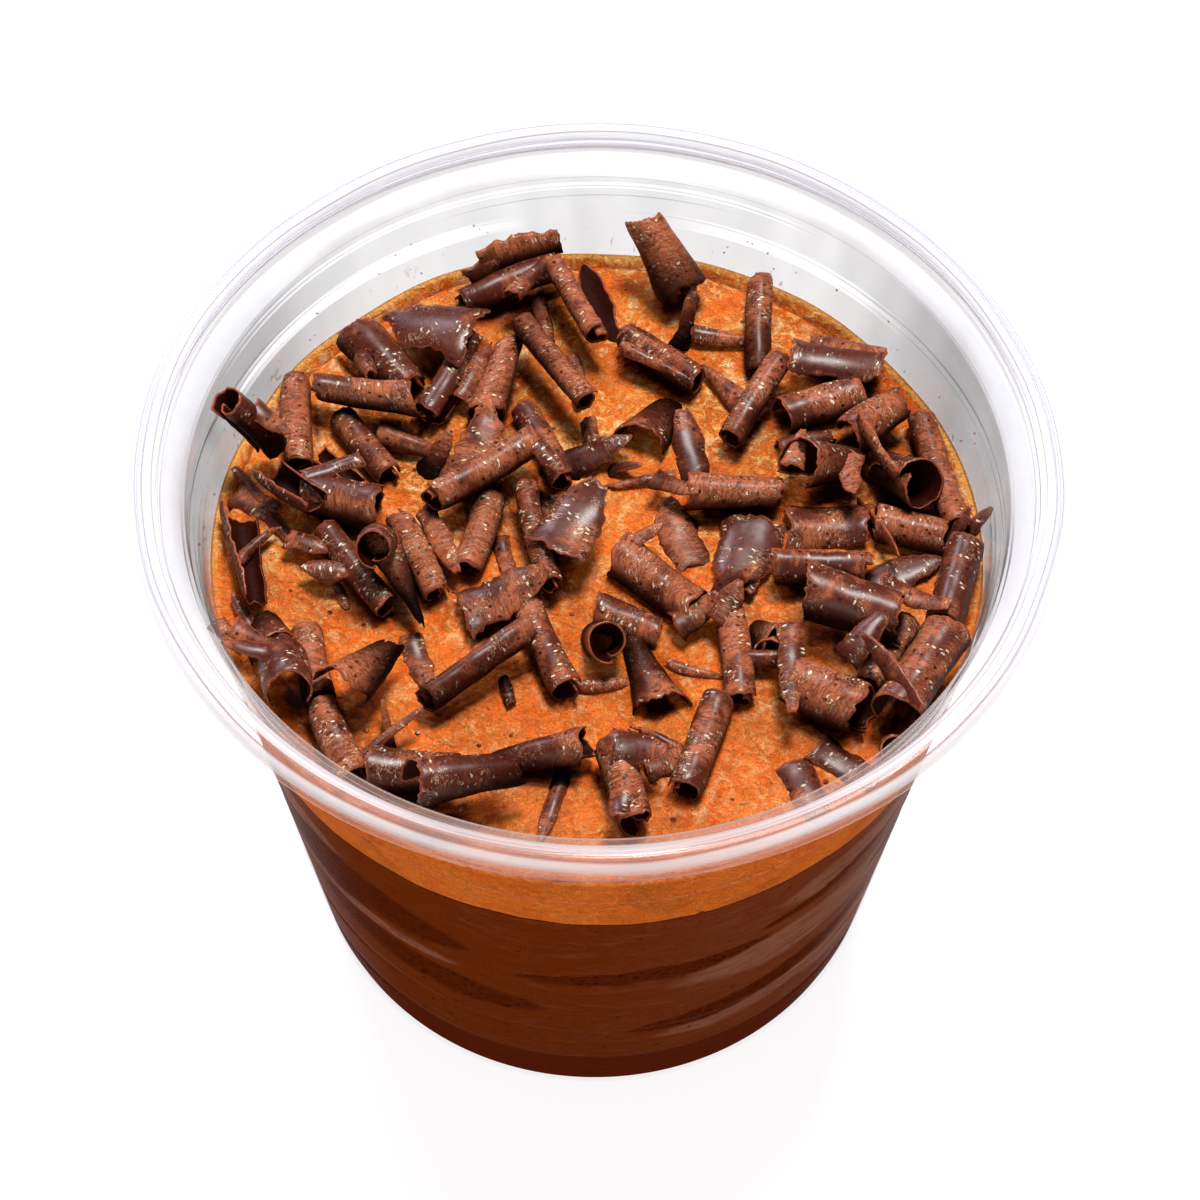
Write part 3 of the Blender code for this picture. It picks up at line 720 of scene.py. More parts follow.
def dark_chocolate(curl):
    """Warm matt chocolate: worm-like tan wrinkles, scraped patches, pits, pale flecks that are partly
    painted glints, and reddish edges painted as light glowing through them. Painted shade low on each
    shaving and where others hide the sky.
    """
    f = Finish("shaved_chocolate")
    here = f.place()
    sheet = f.attribute("sheet", "Vector")
    edge = f.attribute("edge")
    tone = f.attribute("tone")
    scrape = f.noise(here, 0.26, 3.0, 0.6)
    worn = (scrape + 0.3 * (tone - 0.5)).ramp(0.38, 0.60)
    wrinkle = f.noise(f.stretch(sheet, (1.5, 0.65, 1.0)), 1.0, 2.0, 0.5, 1.6)
    worms = abs(wrinkle - 0.5).fall(0.008, 0.032)
    grooves = abs(wrinkle - 0.60).fall(0.0, 0.08)
    patches = f.noise(here, 0.36, 3.0, 0.6)
    scuffed = patches.ramp(0.50, 0.60)
    band = f.noise(f.stretch(sheet, (1.9, 0.25, 1.0)), 1.0, 3.0, 0.6)
    pits = f.cells(here, 0.85).fall(0.10, 0.2)
    # Pale flecks of bloom, partly painted glints.
    flecks_and_glints = f.cells(f.stretch(sheet, (1.7, 0.8, 1.0)), 1.0).fall(0.17, 0.25)
    flecks_and_glints = flecks_and_glints * patches.ramp(0.46, 0.52)
    dust = f.cells(here, 2.7).fall(0.12, 0.28) * scuffed
    colour = f.mix(worn, rgb(curl.colour), rgb(curl.worn))
    colour = f.coats(
        colour,
        (0.6 * band.ramp(0.52, 0.66), rgb(curl.colour)),
        (0.7 * grooves, rgb(curl.colour, 0.5)),
        (worms * (0.05 + 0.18 * worn + 0.5 * scuffed), rgb(curl.tan)),
        (0.8 * pits, rgb(curl.colour, 0.2)),
        (0.3 * dust, rgb(curl.tan)),
        (0.95 * flecks_and_glints, rgb(curl.fleck_and_glint)),
        # Reddish edges: painted glow of light through the thin chocolate.
        (0.75 * edge.ramp(0.5, 0.95), rgb(curl.edge)),
    )
    # Painted shade: darker low on each shaving and where other shavings hide the sky; the gloss fades with
    # it.
    shade = f.attribute("hidden").ramp(0.12, 0.6)
    low = f.attribute("low")
    colour = f.coats(
        colour,
        (0.8 * low.ramp(0.12, 0.5), rgb(curl.colour, 0.4)),
        (0.96 * low.ramp(0.35, 0.7), rgb(curl.colour, 0.02)),
        (0.9 * shade, rgb(curl.colour, 0.25)),
        (0.97 * f.attribute("hidden").ramp(0.30, 0.75), rgb(curl.colour, 0.01)),
    )
    relief = worms * 0.5 + band * 0.8 + f.noise(here, 2.4, 1.0, 0.6) * 0.2 - pits * 0.7 + flecks_and_glints * 0.5
    sockets = {
        "Base Color": colour,
        "Roughness": scrape.ramp(0.35, 0.7, 0.40, 0.55),
        "Specular IOR Level": 0.05,
        "Coat Weight": worn.ramp(0.0, 0.7, 0.65, 0.20) * low.fall(0.1, 0.6) * (1 - shade),
        "Coat Roughness": 0.32,
        "Normal": f.bump(relief, 0.32 * MM, 0.9),
    }
    return f.done(f.principled(sockets))


def shaded_inner_side(curl):
    """The hollow side of a shaving: smooth, close-grained and painted much darker, as shade."""
    f = Finish("curl_inside")
    here = f.place()
    grain = f.noise(here, 1.8, 3.0, 0.6)
    edge = f.attribute("edge")
    colour = f.mix(grain, rgb(curl.colour, 0.10), rgb(curl.colour, 0.35))
    # Reddish edges: painted glow of light through them.
    colour = f.mix(0.8 * edge.ramp(0.6, 0.95), colour, rgb(curl.edge))
    sockets = {
        "Base Color": colour,
        "Roughness": 0.5,
        "Specular IOR Level": 0.04,
        "Normal": f.bump(grain, 0.15 * MM, 0.6),
    }
    return f.done(f.principled(sockets))


def floor_finish(stage):
    f = Finish("pale_floor")
    speckle = f.noise(f.place((40, 40, 40)), 1.0, 2.0)
    colour = f.mix(speckle, rgb(stage.floor), rgb(stage.floor, 0.985))
    sockets = {
        "Base Color": colour,
        "Roughness": 0.6,
        "Emission Color": (1.0, 1.0, 1.0, 1.0),
        "Emission Strength": stage.glow,
    }
    return f.done(f.principled(sockets))


def finish(name, make, settings):
    """The material of that name, made the first time it is asked for."""
    return bpy.data.materials.get(name) or make(settings)


def piece(name, bm, material):
    """Turns a bmesh into an object of the part that moves with its body."""
    mesh = bpy.data.meshes.new(name)
    bm.to_mesh(mesh)
    bm.free()
    mesh.materials.append(material)
    mesh.shade_smooth()
    item = bpy.data.objects.new(name, mesh)
    bpy.context.scene.collection.objects.link(item)
    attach(item, "root")
    return item


def evaluated(item):
    """The shape of an object with its modifiers, as a tree to cast rays at."""
    bpy.context.view_layer.update()
    depsgraph = bpy.context.evaluated_depsgraph_get()
    return BVHTree.FromObject(item, depsgraph)


def turn_profile(profile, steps):
    """A bmesh turned about Z from (radius, height) points that start and end on the axis."""
    bm = bmesh.new()
    corners = [bm.verts.new((radius, 0, height)) for radius, height in profile]
    edges = [bm.edges.new(pair) for pair in zip(corners, corners[1:])]
    bmesh.ops.spin(
        bm, geom=corners + edges, cent=(0, 0, 0), axis=(0, 0, 1), angle=tau, steps=steps, use_merge=True
    )
    bmesh.ops.remove_doubles(bm, verts=bm.verts, dist=0.001 * MM)
    bmesh.ops.recalc_face_normals(bm, faces=bm.faces)
    return bm


def arc(centre, radius, start, turn, steps):
    """Points round a centre in the profile's plane, both ends included."""
    angles = [start + turn * step / steps for step in range(steps + 1)]
    return [(centre[0] + radius * cos(a), centre[1] + radius * sin(a)) for a in angles]


def wall_radius(height):
    """The cone's outer radius."""
    return CONE_RADIUS + CONE_SLOPE * height


def cup_line(sheet):
    """The middle of the cup's sheet, as (radius, height) from the base's centre to the bead's tip."""
    half = sheet / 2
    bend = CORNER_RADIUS - half
    corner = (wall_radius(CORNER_RADIUS) - half * CONE_LEAN - bend * CONE_LEAN, CORNER_RADIUS)
    bead = BEAD_RADIUS - half
    bead_centre = (RIM_RADIUS - BEAD_RADIUS, CUP_HEIGHT - BEAD_RADIUS)
    line = [
        (0, PANEL_RISE + half),
        (PANEL_RADIUS - 0.5 * MM, PANEL_RISE + half),
        (PANEL_RADIUS, PANEL_RISE + 0.8 * half),
        (FOOT_RADIUS - 0.5 * MM, 1.4 * half),
        (FOOT_RADIUS, half),
        *arc(corner, bend, -pi / 2, pi / 2 - atan(CONE_SLOPE), 10),
    ]
    steps = 120
    low = CORNER_RADIUS + 1.0 * MM
    for step in range(steps + 1):
        height = low + (LEDGE_HEIGHT - low) * step / steps
        rib = sum(RIB * max(0, 1 - (2 * abs(height - ring) / RIB_WIDTH) ** 2) for ring in WALL_RINGS)
        shoulder = sum(SHOULDER_STEP * min(1, max(0, (height - s) / SHOULDER_STEP)) for s in SHOULDERS)
        line.append((wall_radius(height) - half * CONE_LEAN - rib + shoulder, height))
    seat = bead_centre[0] - bead
    line += [
        (seat - 0.30 * MM, LEDGE_HEIGHT + 0.12 * MM),
        (seat - 0.12 * MM, LEDGE_HEIGHT + 0.45 * MM),
        (seat - 0.02 * MM, LEDGE_HEIGHT + 0.9 * MM),
        *arc(bead_centre, bead, pi, -BEAD_TURN, 28),
    ]
    return line


def offset(line, distance):
    """The line moved to its left by a distance, with mitred corners."""
    moved = []
    for i, point in enumerate(line):
        before = line[max(i - 1, 0)]
        after = line[min(i + 1, len(line) - 1)]
        normals = []
        for a, b in ((before, point), (point, after)):
            length = hypot(b[0] - a[0], b[1] - a[1])
            if length > 0:
                normals.append(Vector(((a[1] - b[1]) / length, (b[0] - a[0]) / length)))
        mitre = normals[0] + normals[-1]
        mitre *= 2 * distance / mitre.length_squared
        moved.append((max(point[0] + mitre.x, 0), point[1] + mitre.y))
    return moved


def swell(x, y, level, length):
    """Smooth noise over the ground, cut at its own level, with swells about that length (mm) apart."""
    return noise.noise(Vector((x, y, level * MM)) / (length * MM))


def wave(x, y):
    """How far the top of the dark mousse departs from its mean height."""
    slow = swell(x, y, 0, LAYER_WAVE_LENGTH)
    quick = swell(x, y, 4, 5)
    ragged = swell(x, y, 8, 1.4)
    return LAYER_WAVE * (slow + 0.45 * quick + 0.22 * ragged)


def relief(x, y):
    """How far the top of the light mousse departs from its mean height."""
    radius = hypot(x, y)
    away = wall_radius(FILL_HEIGHT) - radius
    back = min(1, max(0, y / (12 * MM) + 0.3))
    rising = min(1, max(0, (LIP_WIDTH - away) / (LIP_WIDTH - LIP_FLAT)))
    lip = LIP_RISE * rising**2 * (3 - 2 * rising) * (CALM + (1 - CALM) * back)
    crack_run = swell(x, y, 3, 4)
    crack_line = (1.4 + 0.5 * crack_run) * MM
    crack = -CRACK_DEPTH * max(0, 1 - abs(away - crack_line) / CRACK_WIDTH) * back * (crack_run > -0.25)
    lump = swell(x, y, LUMP_LEVEL, FILL_LUMP_LENGTH)
    lumps = FILL_LUMP * lump * (1 if y > LUMPY_FROM else 1 - CALM)
    fold = abs(swell(x, 1.4 * y, 2, 5.5))
    small = swell(x, y, 5, 2.4)
    tiny = swell(x, y, 9, 0.9)
    rough = (0.45 * (0.25 - fold) * (0.35 + 0.65 * back) + 0.12 * small + 0.05 * tiny) * MM
    inside = min(1, away / (1.2 * MM))
    return lip + crack + lumps + rough * inside


# Hollow bands in the dark mousse: angle from the front, height, half length, half height, slant.
HOLLOWS = [
    (-42, 34.5, 22, 4.0, -0.05),
    (9, 31.0, 23, 1.7, 0.05),
    (-34, 23.0, 27, 3.0, -0.04),
    (34, 18.5, 28, 2.2, 0.10),
    (46, 36.5, 18, 1.1, 0.10),
    (78, 30.0, 24, 3.4, 0.03),
    (128, 22.0, 30, 3.8, -0.05),
    (165, 35.0, 26, 3.0, 0.04),
    (205, 26.0, 28, 2.6, -0.03),
    (245, 36.0, 24, 3.6, 0.05),
    (272, 20.0, 26, 2.8, 0.02),
    (300, 31.0, 20, 2.4, -0.06),
]

# Smooth paler bands: the same.
MILKY = [
    (-58, 40.0, 14, 2.4, -0.05),
    (-46, 28.0, 24, 1.5, 0.00),
    (42, 28.8, 30, 4.6, 0.03),
    (50, 39.5, 20, 4.0, 0.02),
    (56, 15.0, 16, 3.2, 0.06),
    (32, 15.0, 22, 2.0, 0.06),
    (100, 40.0, 26, 2.6, 0.02),
    (112, 14.0, 26, 3.0, -0.03),
    (150, 28.5, 26, 2.4, 0.04),
    (190, 38.0, 28, 2.2, -0.04),
    (225, 18.0, 26, 3.0, 0.04),
    (262, 30.0, 20, 2.2, -0.02),
]


def banding(x, y, z, bands, crisp):
    """From 0 outside the bands to 1 in their middle, with ends that run out to a point."""
    round_about = degrees(atan2(x, -y))
    ragged = noise.noise(Vector((x, y, 1.6 * z)) / (5 * MM))
    fine = noise.noise(Vector((x, y, 2.5 * z)) / (1.5 * MM))
    most = 0
    for centre, height, half_length, half_height, slant in bands:
        along = (round_about - centre + 180) % 360 - 180
        across = z / MM - height - slant * along - 0.5 * ragged
        inside = 1 - (along / half_length) ** 2 - abs(across / half_height) ** 1.5 + 0.12 * fine
        most = max(most, min(1, crisp * inside))
    return most


def side_points(low, high, count):
    """Profile points up the filling's side, which reaches into the wall."""
    heights = [low + (high - low) * i / count for i in range(count + 1)]
    inner = CONE_RADIUS - SHEET * CONE_LEAN + INTO_WALL
    return [(inner + CONE_SLOPE * height, height) for height in heights]


def heap_tree():
    """The solids of the shavings, as one tree to measure distances to."""
    corners = []
    faces = []
    for name in [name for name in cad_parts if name.startswith(("quill", "cone", "shard"))]:
        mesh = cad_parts[name].data
        faces += [[len(corners) + i for i in polygon.vertices] for polygon in mesh.polygons]
        corners += [vertex.co.copy() for vertex in mesh.vertices]
    return BVHTree.FromPolygons(corners, faces)


def light_body(steps, heap):
    """The light mousse: a lumpy top that climbs the curls, and a side down to the dark mousse."""
    side = side_points(LAYER_HEIGHT, FILL_HEIGHT, 22)
    reach = side[-1][0]
    rings = 92
    top = [(reach * (rings - i) / rings, FILL_HEIGHT) for i in range(1, rings + 1)]
    bm = turn_profile([(0, LAYER_HEIGHT), (reach / 2, LAYER_HEIGHT), *side, *top], steps)
    near = bm.verts.layers.float.new("near")
    bm.verts.layers.float.new("hidden")
    for vertex in bm.verts:
        x, y, z = vertex.co
        up = (z - LAYER_HEIGHT) / (FILL_HEIGHT - LAYER_HEIGHT)
        vertex.co.z += wave(x, y) * (1 - up) + relief(x, y) * up ** 3
        if up > 0.999:
            distance = heap.find_nearest(vertex.co)[3]
            vertex[near] = max(0, 1 - distance / CLING_REACH)
            vertex.co.z += CLING * vertex[near] ** 2
    shelter(bm, [v for v in bm.verts if v.co.z > FILL_HEIGHT - 2 * MM], heap, TOP_LIFT)
    return bm


def dark_body(steps, sheet):
    """The dark mousse, with its hollow bands pressed back from the wall."""
    inside = offset(cup_line(sheet), sheet / 2 - 0.05 * MM)
    bottom = [point for point in inside if point[1] < CORNER_RADIUS + 0.5 * MM]
    side = side_points(CORNER_RADIUS + 1.2 * MM, LAYER_HEIGHT, 84)
    reach = side[-1][0]
    bm = turn_profile([*bottom, *side, (reach / 2, LAYER_HEIGHT), (0, LAYER_HEIGHT)], steps)
    hollow = bm.verts.layers.float.new("hollow")
    milk = bm.verts.layers.float.new("milk")
    for vertex in bm.verts:
        x, y, z = vertex.co
        by_wall = hypot(x, y) > 0.9 * reach - (LAYER_HEIGHT - z) * CONE_SLOPE
        amount = banding(x, y, z, HOLLOWS, 6) if by_wall else 0
        vertex[hollow] = amount
        # Paler towards the right: a painted reflection, on top of the milky bands.
        vertex[milk] = max(0, max(0.3 * x / reach, 0.8 * banding(x, y, z, MILKY, 3)) - amount)
        pore = noise.noise(vertex.co / (1.3 * MM))
        inward = HOLLOW_DEPTH * (1 + pore) * amount
        vertex.co.x -= inward * x / max(hypot(x, y), MM)
        vertex.co.y -= inward * y / max(hypot(x, y), MM)
        vertex.co.z += wave(x, y) * max(0, (z - WAVY_FROM) / (LAYER_HEIGHT - WAVY_FROM))
    return bm


def tooth(position, seed):
    """A crooked broken edge, from -1 to 1, at a position along it in millimetres."""
    slow = noise.noise(Vector((0.35 * position, seed, 0.5)))
    quick = noise.noise(Vector((1.3 * position, seed, 7.5)))
    sharp = abs(noise.noise(Vector((2.6 * position, seed, 3.5))))
    return 0.75 * slow + 0.45 * quick + 0.5 * sharp


def shelter(bm, verts, tree, lift):
    """Notes how much of the sky above each point the shavings hide, from 0 to 1."""
    hidden = bm.verts.layers.float["hidden"]
    bm.normal_update()
    for vertex in verts:
        start = vertex.co + lift * vertex.normal
        hits = [tree.ray_cast(start + SHELTER_START * ray, ray, SHELTER_REACH)[0] for ray in SKY]
        vertex[hidden] = sum(hit is not None for hit in hits) / len(SKY)


def new_heap():
    """A bmesh for many shavings, with what their material and their thickness read."""
    bm = bmesh.new()
    bm.verts.layers.float_vector.new("sheet")
    bm.verts.layers.float.new("edge")
    bm.verts.layers.float.new("tone")
    bm.verts.layers.float.new("low")
    bm.verts.layers.float.new("hidden")
    bm.verts.layers.deform.verify()
    return bm


def add_shaving(bm, curl, seed, length, widths, across, taper, cut, ragged):
    """Adds a sheet, rolled about X. widths are the sheet's, from end to end. Returns its vertices."""
    turns = max(widths) / (pi * across)
    along = max(6, round(length / curl.cell))
    around = max(6, round(max(widths) / curl.cell), round(26 * turns))
    grid = bmesh.ops.create_grid(bm, x_segments=along, y_segments=around, size=0.5)["verts"]
    sheet = bm.verts.layers.float_vector["sheet"]
    edge_layer = bm.verts.layers.float["edge"]
    tone_layer = bm.verts.layers.float["tone"]
    deform = bm.verts.layers.deform.active
    chance = Random(seed)
    tone = chance.random()
    bow = chance.uniform(-0.35, 0.35) * MM
    flare = chance.uniform(-0.06, 0.12)
    for vertex in grid:
        u = vertex.co.x + 0.5
        v = vertex.co.y
        end = widths[0] if u < 0.5 else widths[2]
        middle = sin(pi / 2 * (1 - abs(2 * u - 1))) if widths[0] != widths[2] else 1
        width = end + (widths[1] - end) * middle
        place_along = u * length / MM
        place_across = v * width / MM
        near_end = ragged * tooth(place_across, seed + 11) * (1 - u)
        far_end = ragged * tooth(place_across, seed + 23) * u
        side = ragged * tooth(place_along, seed + (37 if v > 0 else 51)) * 2 * abs(v)
        x = (u - 0.5) * length + (far_end - near_end) * MM + cut * v
        arc_across = v * width + (side * MM if v > 0 else -side * MM) * min(1, width / (3 * MM))
        wobble = 0.10 * MM * noise.noise(Vector((place_along / 2.2, place_across / 2.2, seed)))
        flared = 1 + flare * (2 * u - 1) ** 4
        rolled = PITCH * (v + 0.5) * width / (pi * across)
        radius = across / 2 * (1 - taper * u) * flared - rolled + wobble
        angle = 2 * arc_across / across
        vertex.co = (x, -radius * sin(angle), radius * cos(angle) - bow * (2 * u - 1) ** 2)
        out = max(abs(2 * u - 1), abs(2 * v))
        rim = min((1 - abs(2 * u - 1)) * length / 2, (1 - abs(2 * v)) * width / 2)
        vertex[sheet] = (place_along + 31 * seed, place_across, 0)
        vertex[edge_layer] = max(0, 1 - rim / EDGE_WIDTH) if out < 1 else 1.0
        vertex[tone_layer] = tone
        vertex[deform][0] = 1 - THINNER * max(0, 1 - rim / THIN_WIDTH)
    return grid


def pose(bm, verts, heading, lean, seam, shade=1):
    """Turns a shaving as it lies, and notes how low each point of it is. Flat ones take less shade."""
    turn = Matrix.Rotation(radians(heading), 4, "Z") @ Matrix.Rotation(radians(-lean), 4, "Y")
    bmesh.ops.transform(bm, matrix=turn @ Matrix.Rotation(radians(seam), 4, "X"), verts=verts)
    low = bm.verts.layers.float["low"]
    bottom = min(vertex.co.z for vertex in verts)
    top = max(vertex.co.z for vertex in verts)
    for vertex in verts:
        vertex[low] = shade * (top - vertex.co.z) / max(top - bottom, FULL_SHADE)


def move_to(bm, verts, centre):
    """Moves a shaving until the centre of its box is there."""
    low = Vector([min(v.co[i] for v in verts) for i in range(3)])
    high = Vector([max(v.co[i] for v in verts) for i in range(3)])
    bmesh.ops.translate(bm, verts=verts, vec=centre - (low + high) / 2)


def rest_on(bm, verts, x, y, trees):
    """Lowers a shaving onto what is below until a few of its points are sunk in it."""
    move_to(bm, verts, Vector((x * MM, y * MM, CUP_HEIGHT + DROP_FROM)))
    drops = []
    for vertex in verts:
        hits = [tree.ray_cast(vertex.co, Vector((0, 0, -1)))[3] for tree in trees]
        drops.append(min([hit for hit in hits if hit is not None], default=NO_FLOOR))
    drops.sort()
    bmesh.ops.translate(bm, verts=verts, vec=(0, 0, -drops[len(drops) // SUNK]))


def thicken(item, curl):
    """Gives the rolled sheets their thickness, thinner towards their edges."""
    item.vertex_groups.new(name="body")
    sheet = item.modifiers.new("sheet", "SOLIDIFY")
    sheet.thickness = curl.sheet
    sheet.offset = 0
    sheet.vertex_group = "body"
    sheet.thickness_vertex_group = 0
    sheet.material_offset = 1
    sheet.material_offset_rim = 1
    return item


def box_centre(node):
    low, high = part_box(node)
    return (low + high) / 2


class MakeCup(bpy.types.Operator):
    """Turns the clear cup with its rolled rim, ribs and shoulders"""

    bl_idname = "mousse.make_cup"
    bl_label = "Make the cup"

    def execute(self, context):
        cup = context.scene.mousse_cup
        line = cup_line(cup.sheet)
        outline = offset(line, cup.sheet / 2) + offset(line, -cup.sheet / 2)[::-1]
        bm = turn_profile(outline, cup.steps)
        item = piece("clear_cup", bm, finish("cup_plastic", clear_plastic, cup))
        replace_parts(item, "cup")
        return {"FINISHED"}


class MakeDarkMousse(bpy.types.Operator):
    """Fills the lower part of the cup with the dark mousse"""

    bl_idname = "mousse.make_dark_layer"
    bl_label = "Make the dark mousse"

    def execute(self, context):
        filling = context.scene.mousse_filling
        bm = dark_body(filling.steps, context.scene.mousse_cup.sheet)
        material = finish("pressed_mousse", dark_mousse, filling)
        item = piece("dark_mousse_layer", bm, material)
        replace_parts(item, "mousse_dark_layer")
        return {"FINISHED"}


class MakeLightMousse(bpy.types.Operator):
    """Fills the upper part of the cup with the light mousse"""

    bl_idname = "mousse.make_light_layer"
    bl_label = "Make the light mousse"

    def execute(self, context):
        filling = context.scene.mousse_filling
        bm = light_body(filling.steps, heap_tree())
        material = finish("foamy_mousse", light_mousse, filling)
        item = piece("light_mousse_layer", bm, material)
        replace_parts(item, "mousse_light_layer")
        return {"FINISHED"}


def shavings_piece(name, bm, curl):
    """The shavings of one kind, with their thickness and their hollow side painted darker, as shade."""
    shelter(bm, bm.verts, heap_tree(), SHEET_LIFT)
    item = piece(name, bm, finish("curl_inside", shaded_inner_side, curl))
    item.data.materials.append(finish("shaved_chocolate", dark_chocolate, curl))
    return thicken(item, curl)


def lay_shaving(bm, curl, seed, row, cut, ragged, shade=1):
    """Adds the shaving of one row of a table, and turns it as it lies. Returns its vertices."""
    heading, lean, seam, length, *shape = row
    if isinstance(shape[0], tuple):
        widths = tuple(width * MM for width in shape[0])
        across, taper = shape[1], 0
    else:
        across, turns, taper = (*shape, 0)[:3]
        widths = (turns * pi * across * MM,) * 3
    verts = add_shaving(bm, curl, seed, length * MM, widths, across * MM, taper, cut, ragged)
    pose(bm, verts, heading, lean, seam, shade)
    return verts


def make_large(name, curl, node, table, seed, cuts, ragged, shade=1):
    """The shavings of a kind that has solids: each lies where its own does, and replaces it."""
    bm = new_heap()
    names = [f"{node}_{number:02d}" for number in range(1, len(table) + 1)]
    for number, row in enumerate(table, 1):
        verts = lay_shaving(bm, curl, seed + number, row, cuts[number % 2], ragged, shade)
        move_to(bm, verts, box_centre(names[number - 1]))
    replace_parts(shavings_piece(name, bm, curl), *names)
    return {"FINISHED"}


def make_small(name, curl, table, seed, cut):
    """The shavings of a kind that has none: each rests on the mousse and the large shavings."""
    bm = new_heap()
    trees = [evaluated(bpy.data.objects[below]) for below in BELOW_SMALL]
    for number, (x, y, *row) in enumerate(table, 1):
        verts = lay_shaving(bm, curl, seed + number, row, cut, SMALL_RAGGED)
        rest_on(bm, verts, x, y, trees)
    shavings_piece(name, bm, curl)
    return {"FINISHED"}


class MakeQuills(bpy.types.Operator):
    """Rolls the quills, each where its solid lies"""

    bl_idname = "mousse.make_quills"
    bl_label = "Make the quills"

    def execute(self, context):
        curl = context.scene.mousse_curls
        return make_large("chocolate_quills", curl, "quill", QUILLS, 0, QUILL_CUTS, QUILL_RAGGED)


class MakeCones(bpy.types.Operator):
    """Rolls the cones, each where its solid lies"""

    bl_idname = "mousse.make_cones"
    bl_label = "Make the cones"

    def execute(self, context):
        curl = context.scene.mousse_curls
        return make_large("chocolate_cones", curl, "cone", CONES, 100, CONE_CUTS, CONE_RAGGED)


class MakeShards(bpy.types.Operator):
    """Breaks the large shards, each where its solid lies"""

    bl_idname = "mousse.make_shards"
    bl_label = "Make the shards"

    def execute(self, context):
        curl = context.scene.mousse_curls
        return make_large(
            "chocolate_shards", curl, "shard", SHARDS, 200, (0, 0), SHARD_RAGGED, FLAT_SHADE
        )


class MakeSmallRolls(bpy.types.Operator):
    """Tucks the small rolls in among the large ones"""

    bl_idname = "mousse.make_small_rolls"
    bl_label = "Make the small rolls"

    def execute(self, context):
        return make_small("small_rolls", context.scene.mousse_curls, SMALL_ROLLS, 300, SMALL_CUT)


class MakeSmallChips(bpy.types.Operator):
    """Tucks the small chips and splinters in among the large shavings"""

    bl_idname = "mousse.make_small_chips"
    bl_label = "Make the small chips"

    def execute(self, context):
        return make_small("small_chips", context.scene.mousse_curls, SMALL_CHIPS, 400, 0)


class MakeCrumbs(bpy.types.Operator):
    """Scatters crumbs on the mousse and specks on the clear wall above it"""

    bl_idname = "mousse.make_crumbs"
    bl_label = "Make the crumbs"

    def execute(self, context):
        curl = context.scene.mousse_curls
        chance = Random(5)
        bm = new_heap()
        tree = evaluated(bpy.data.objects["light_mousse_layer"])
        for _ in range(CRUMBS):
            round_about = chance.uniform(0, tau)
            out = CRUMB_REACH * chance.random() ** 0.5
            size = chance.uniform(*CRUMB_SIZES)
            start = Vector((out * cos(round_about), out * sin(round_about), CUP_HEIGHT))
            spot = tree.ray_cast(start, Vector((0, 0, -1)))[0]
            self.crumb(bm, chance, spot + Vector((0, 0, 0.2 * size)), size)
        for _ in range(SPECKS):
            round_about = chance.gauss(pi / 2, 1.1)
            height = chance.uniform(*SPECK_HEIGHTS)
            size = chance.uniform(*SPECK_SIZES)
            out = wall_radius(height) - 0.6 * MM
            self.crumb(bm, chance, Vector((out * cos(round_about), out * sin(round_about), height)), size)
        item = piece("crumbs", bm, finish("shaved_chocolate", dark_chocolate, curl))
        item.data.shade_flat()
        return {"FINISHED"}

    def crumb(self, bm, chance, spot, size):
        """A tiny broken lump."""
        verts = bmesh.ops.create_icosphere(bm, subdivisions=1, radius=size / 2)["verts"]
        for vertex in verts:
            vertex.co *= chance.uniform(0.6, 1.25)
            # A little of the edges' painted reddish glow.
            vertex[bm.verts.layers.float["edge"]] = 0.7
        shape = Matrix.Diagonal((chance.uniform(0.8, 1.8), 1.0, chance.uniform(0.4, 0.8), 1.0))
        turn = Matrix.Rotation(chance.uniform(0, tau), 4, "Z")
        bmesh.ops.transform(bm, matrix=Matrix.Translation(spot) @ turn @ shape, verts=verts)


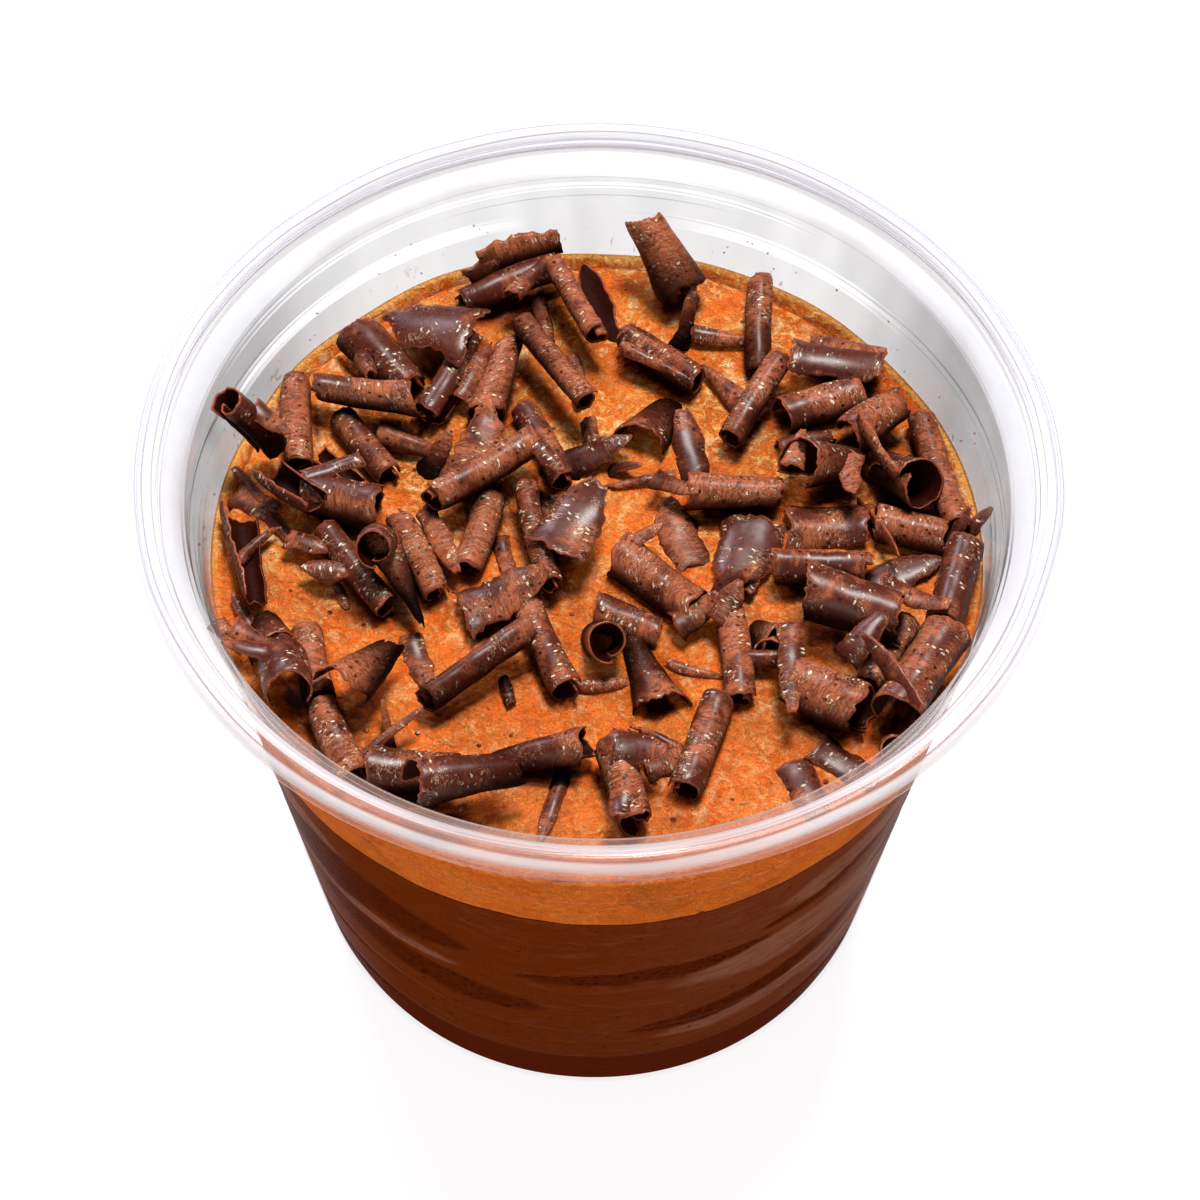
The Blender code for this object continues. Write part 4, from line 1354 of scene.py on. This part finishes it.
class MakeStage(bpy.types.Operator):
    """Lays the floor, hangs the soft lights and sets up the camera"""

    bl_idname = "mousse.make_stage"
    bl_label = "Make the stage"

    def execute(self, context):
        stage = context.scene.mousse_stage
        self.lay_floor(stage)
        for name, spot, size, colour in LIGHTS:
            self.light(name, spot, size, getattr(stage, name), colour)
        world = bpy.data.worlds.new("soft_room")
        world.use_nodes = True
        sockets = world.node_tree.nodes["Background"].inputs
        sockets["Color"].default_value = DOME_COLOUR
        sockets["Strength"].default_value = stage.dome
        context.scene.world = world
        context.scene.view_settings.view_transform = "Standard"
        self.set_camera(context)
        return {"FINISHED"}

    def lay_floor(self, stage):
        bm = bmesh.new()
        bmesh.ops.create_circle(bm, cap_ends=True, radius=FLOOR_RADIUS, segments=96)
        mesh = bpy.data.meshes.new("floor")
        bm.to_mesh(mesh)
        bm.free()
        mesh.materials.append(finish("pale_floor", floor_finish, stage))
        floor = bpy.data.objects.new("floor", mesh)
        bpy.context.scene.collection.objects.link(floor)

    def light(self, name, spot, size, power, colour):
        lamp = bpy.data.lights.new(name, "AREA")
        lamp.shape = "DISK"
        lamp.size = size
        lamp.energy = power
        lamp.color = colour
        item = bpy.data.objects.new(name, lamp)
        item.location = spot
        item.rotation_euler = (AIM - Vector(spot)).to_track_quat("-Z", "Y").to_euler()
        bpy.context.scene.collection.objects.link(item)

    def set_camera(self, context):
        back = Vector((0, -cos(VIEW_ELEVATION), sin(VIEW_ELEVATION)))
        level = Vector((1, 0, 0))
        up = back.cross(level)
        right = level * cos(VIEW_ROLL) + up * sin(VIEW_ROLL)
        turn = Matrix((right, back.cross(right), back)).transposed()
        camera = bpy.data.cameras.new("camera")
        camera.lens = VIEW_LENS
        item = bpy.data.objects.new("camera", camera)
        item.matrix_world = Matrix.Translation(VIEW_TARGET + VIEW_DISTANCE * back) @ turn.to_4x4()
        context.scene.collection.objects.link(item)
        context.scene.camera = item


MAKERS = (
    MakeCup,
    MakeDarkMousse,
    MakeLightMousse,
    MakeQuills,
    MakeCones,
    MakeShards,
    MakeSmallRolls,
    MakeSmallChips,
    MakeCrumbs,
    MakeStage,
)
GROUPS = {
    "mousse_cup": CupSettings,
    "mousse_filling": FillingSettings,
    "mousse_curls": CurlSettings,
    "mousse_stage": StageSettings,
}


class MoussePanel(bpy.types.Panel):
    """Lists what can be made and the sizes and colours it is made with"""

    bl_idname = "VIEW3D_PT_mousse"
    bl_label = "Chocolate mousse"
    bl_space_type = "VIEW_3D"
    bl_region_type = "UI"
    bl_category = "Mousse"

    def draw(self, context):
        for maker in MAKERS:
            self.layout.operator(maker.bl_idname)
        for group, kind in GROUPS.items():
            box = self.layout.box()
            for name in kind.__annotations__:
                box.prop(getattr(context.scene, group), name)


def register():
    for kind in (*GROUPS.values(), *MAKERS, MoussePanel):
        bpy.utils.register_class(kind)
    for name, kind in GROUPS.items():
        setattr(bpy.types.Scene, name, PointerProperty(type=kind))


def unregister():
    for name in GROUPS:
        delattr(bpy.types.Scene, name)
    for kind in (MoussePanel, *reversed(MAKERS), *GROUPS.values()):
        bpy.utils.unregister_class(kind)


def main():
    register()
    bpy.ops.mousse.make_cup()
    bpy.ops.mousse.make_dark_layer()
    bpy.ops.mousse.make_light_layer()
    bpy.ops.mousse.make_quills()
    bpy.ops.mousse.make_cones()
    bpy.ops.mousse.make_shards()
    bpy.ops.mousse.make_small_rolls()
    bpy.ops.mousse.make_small_chips()
    bpy.ops.mousse.make_crumbs()
    bpy.ops.mousse.make_stage()


if __name__ == "__main__":
    main()
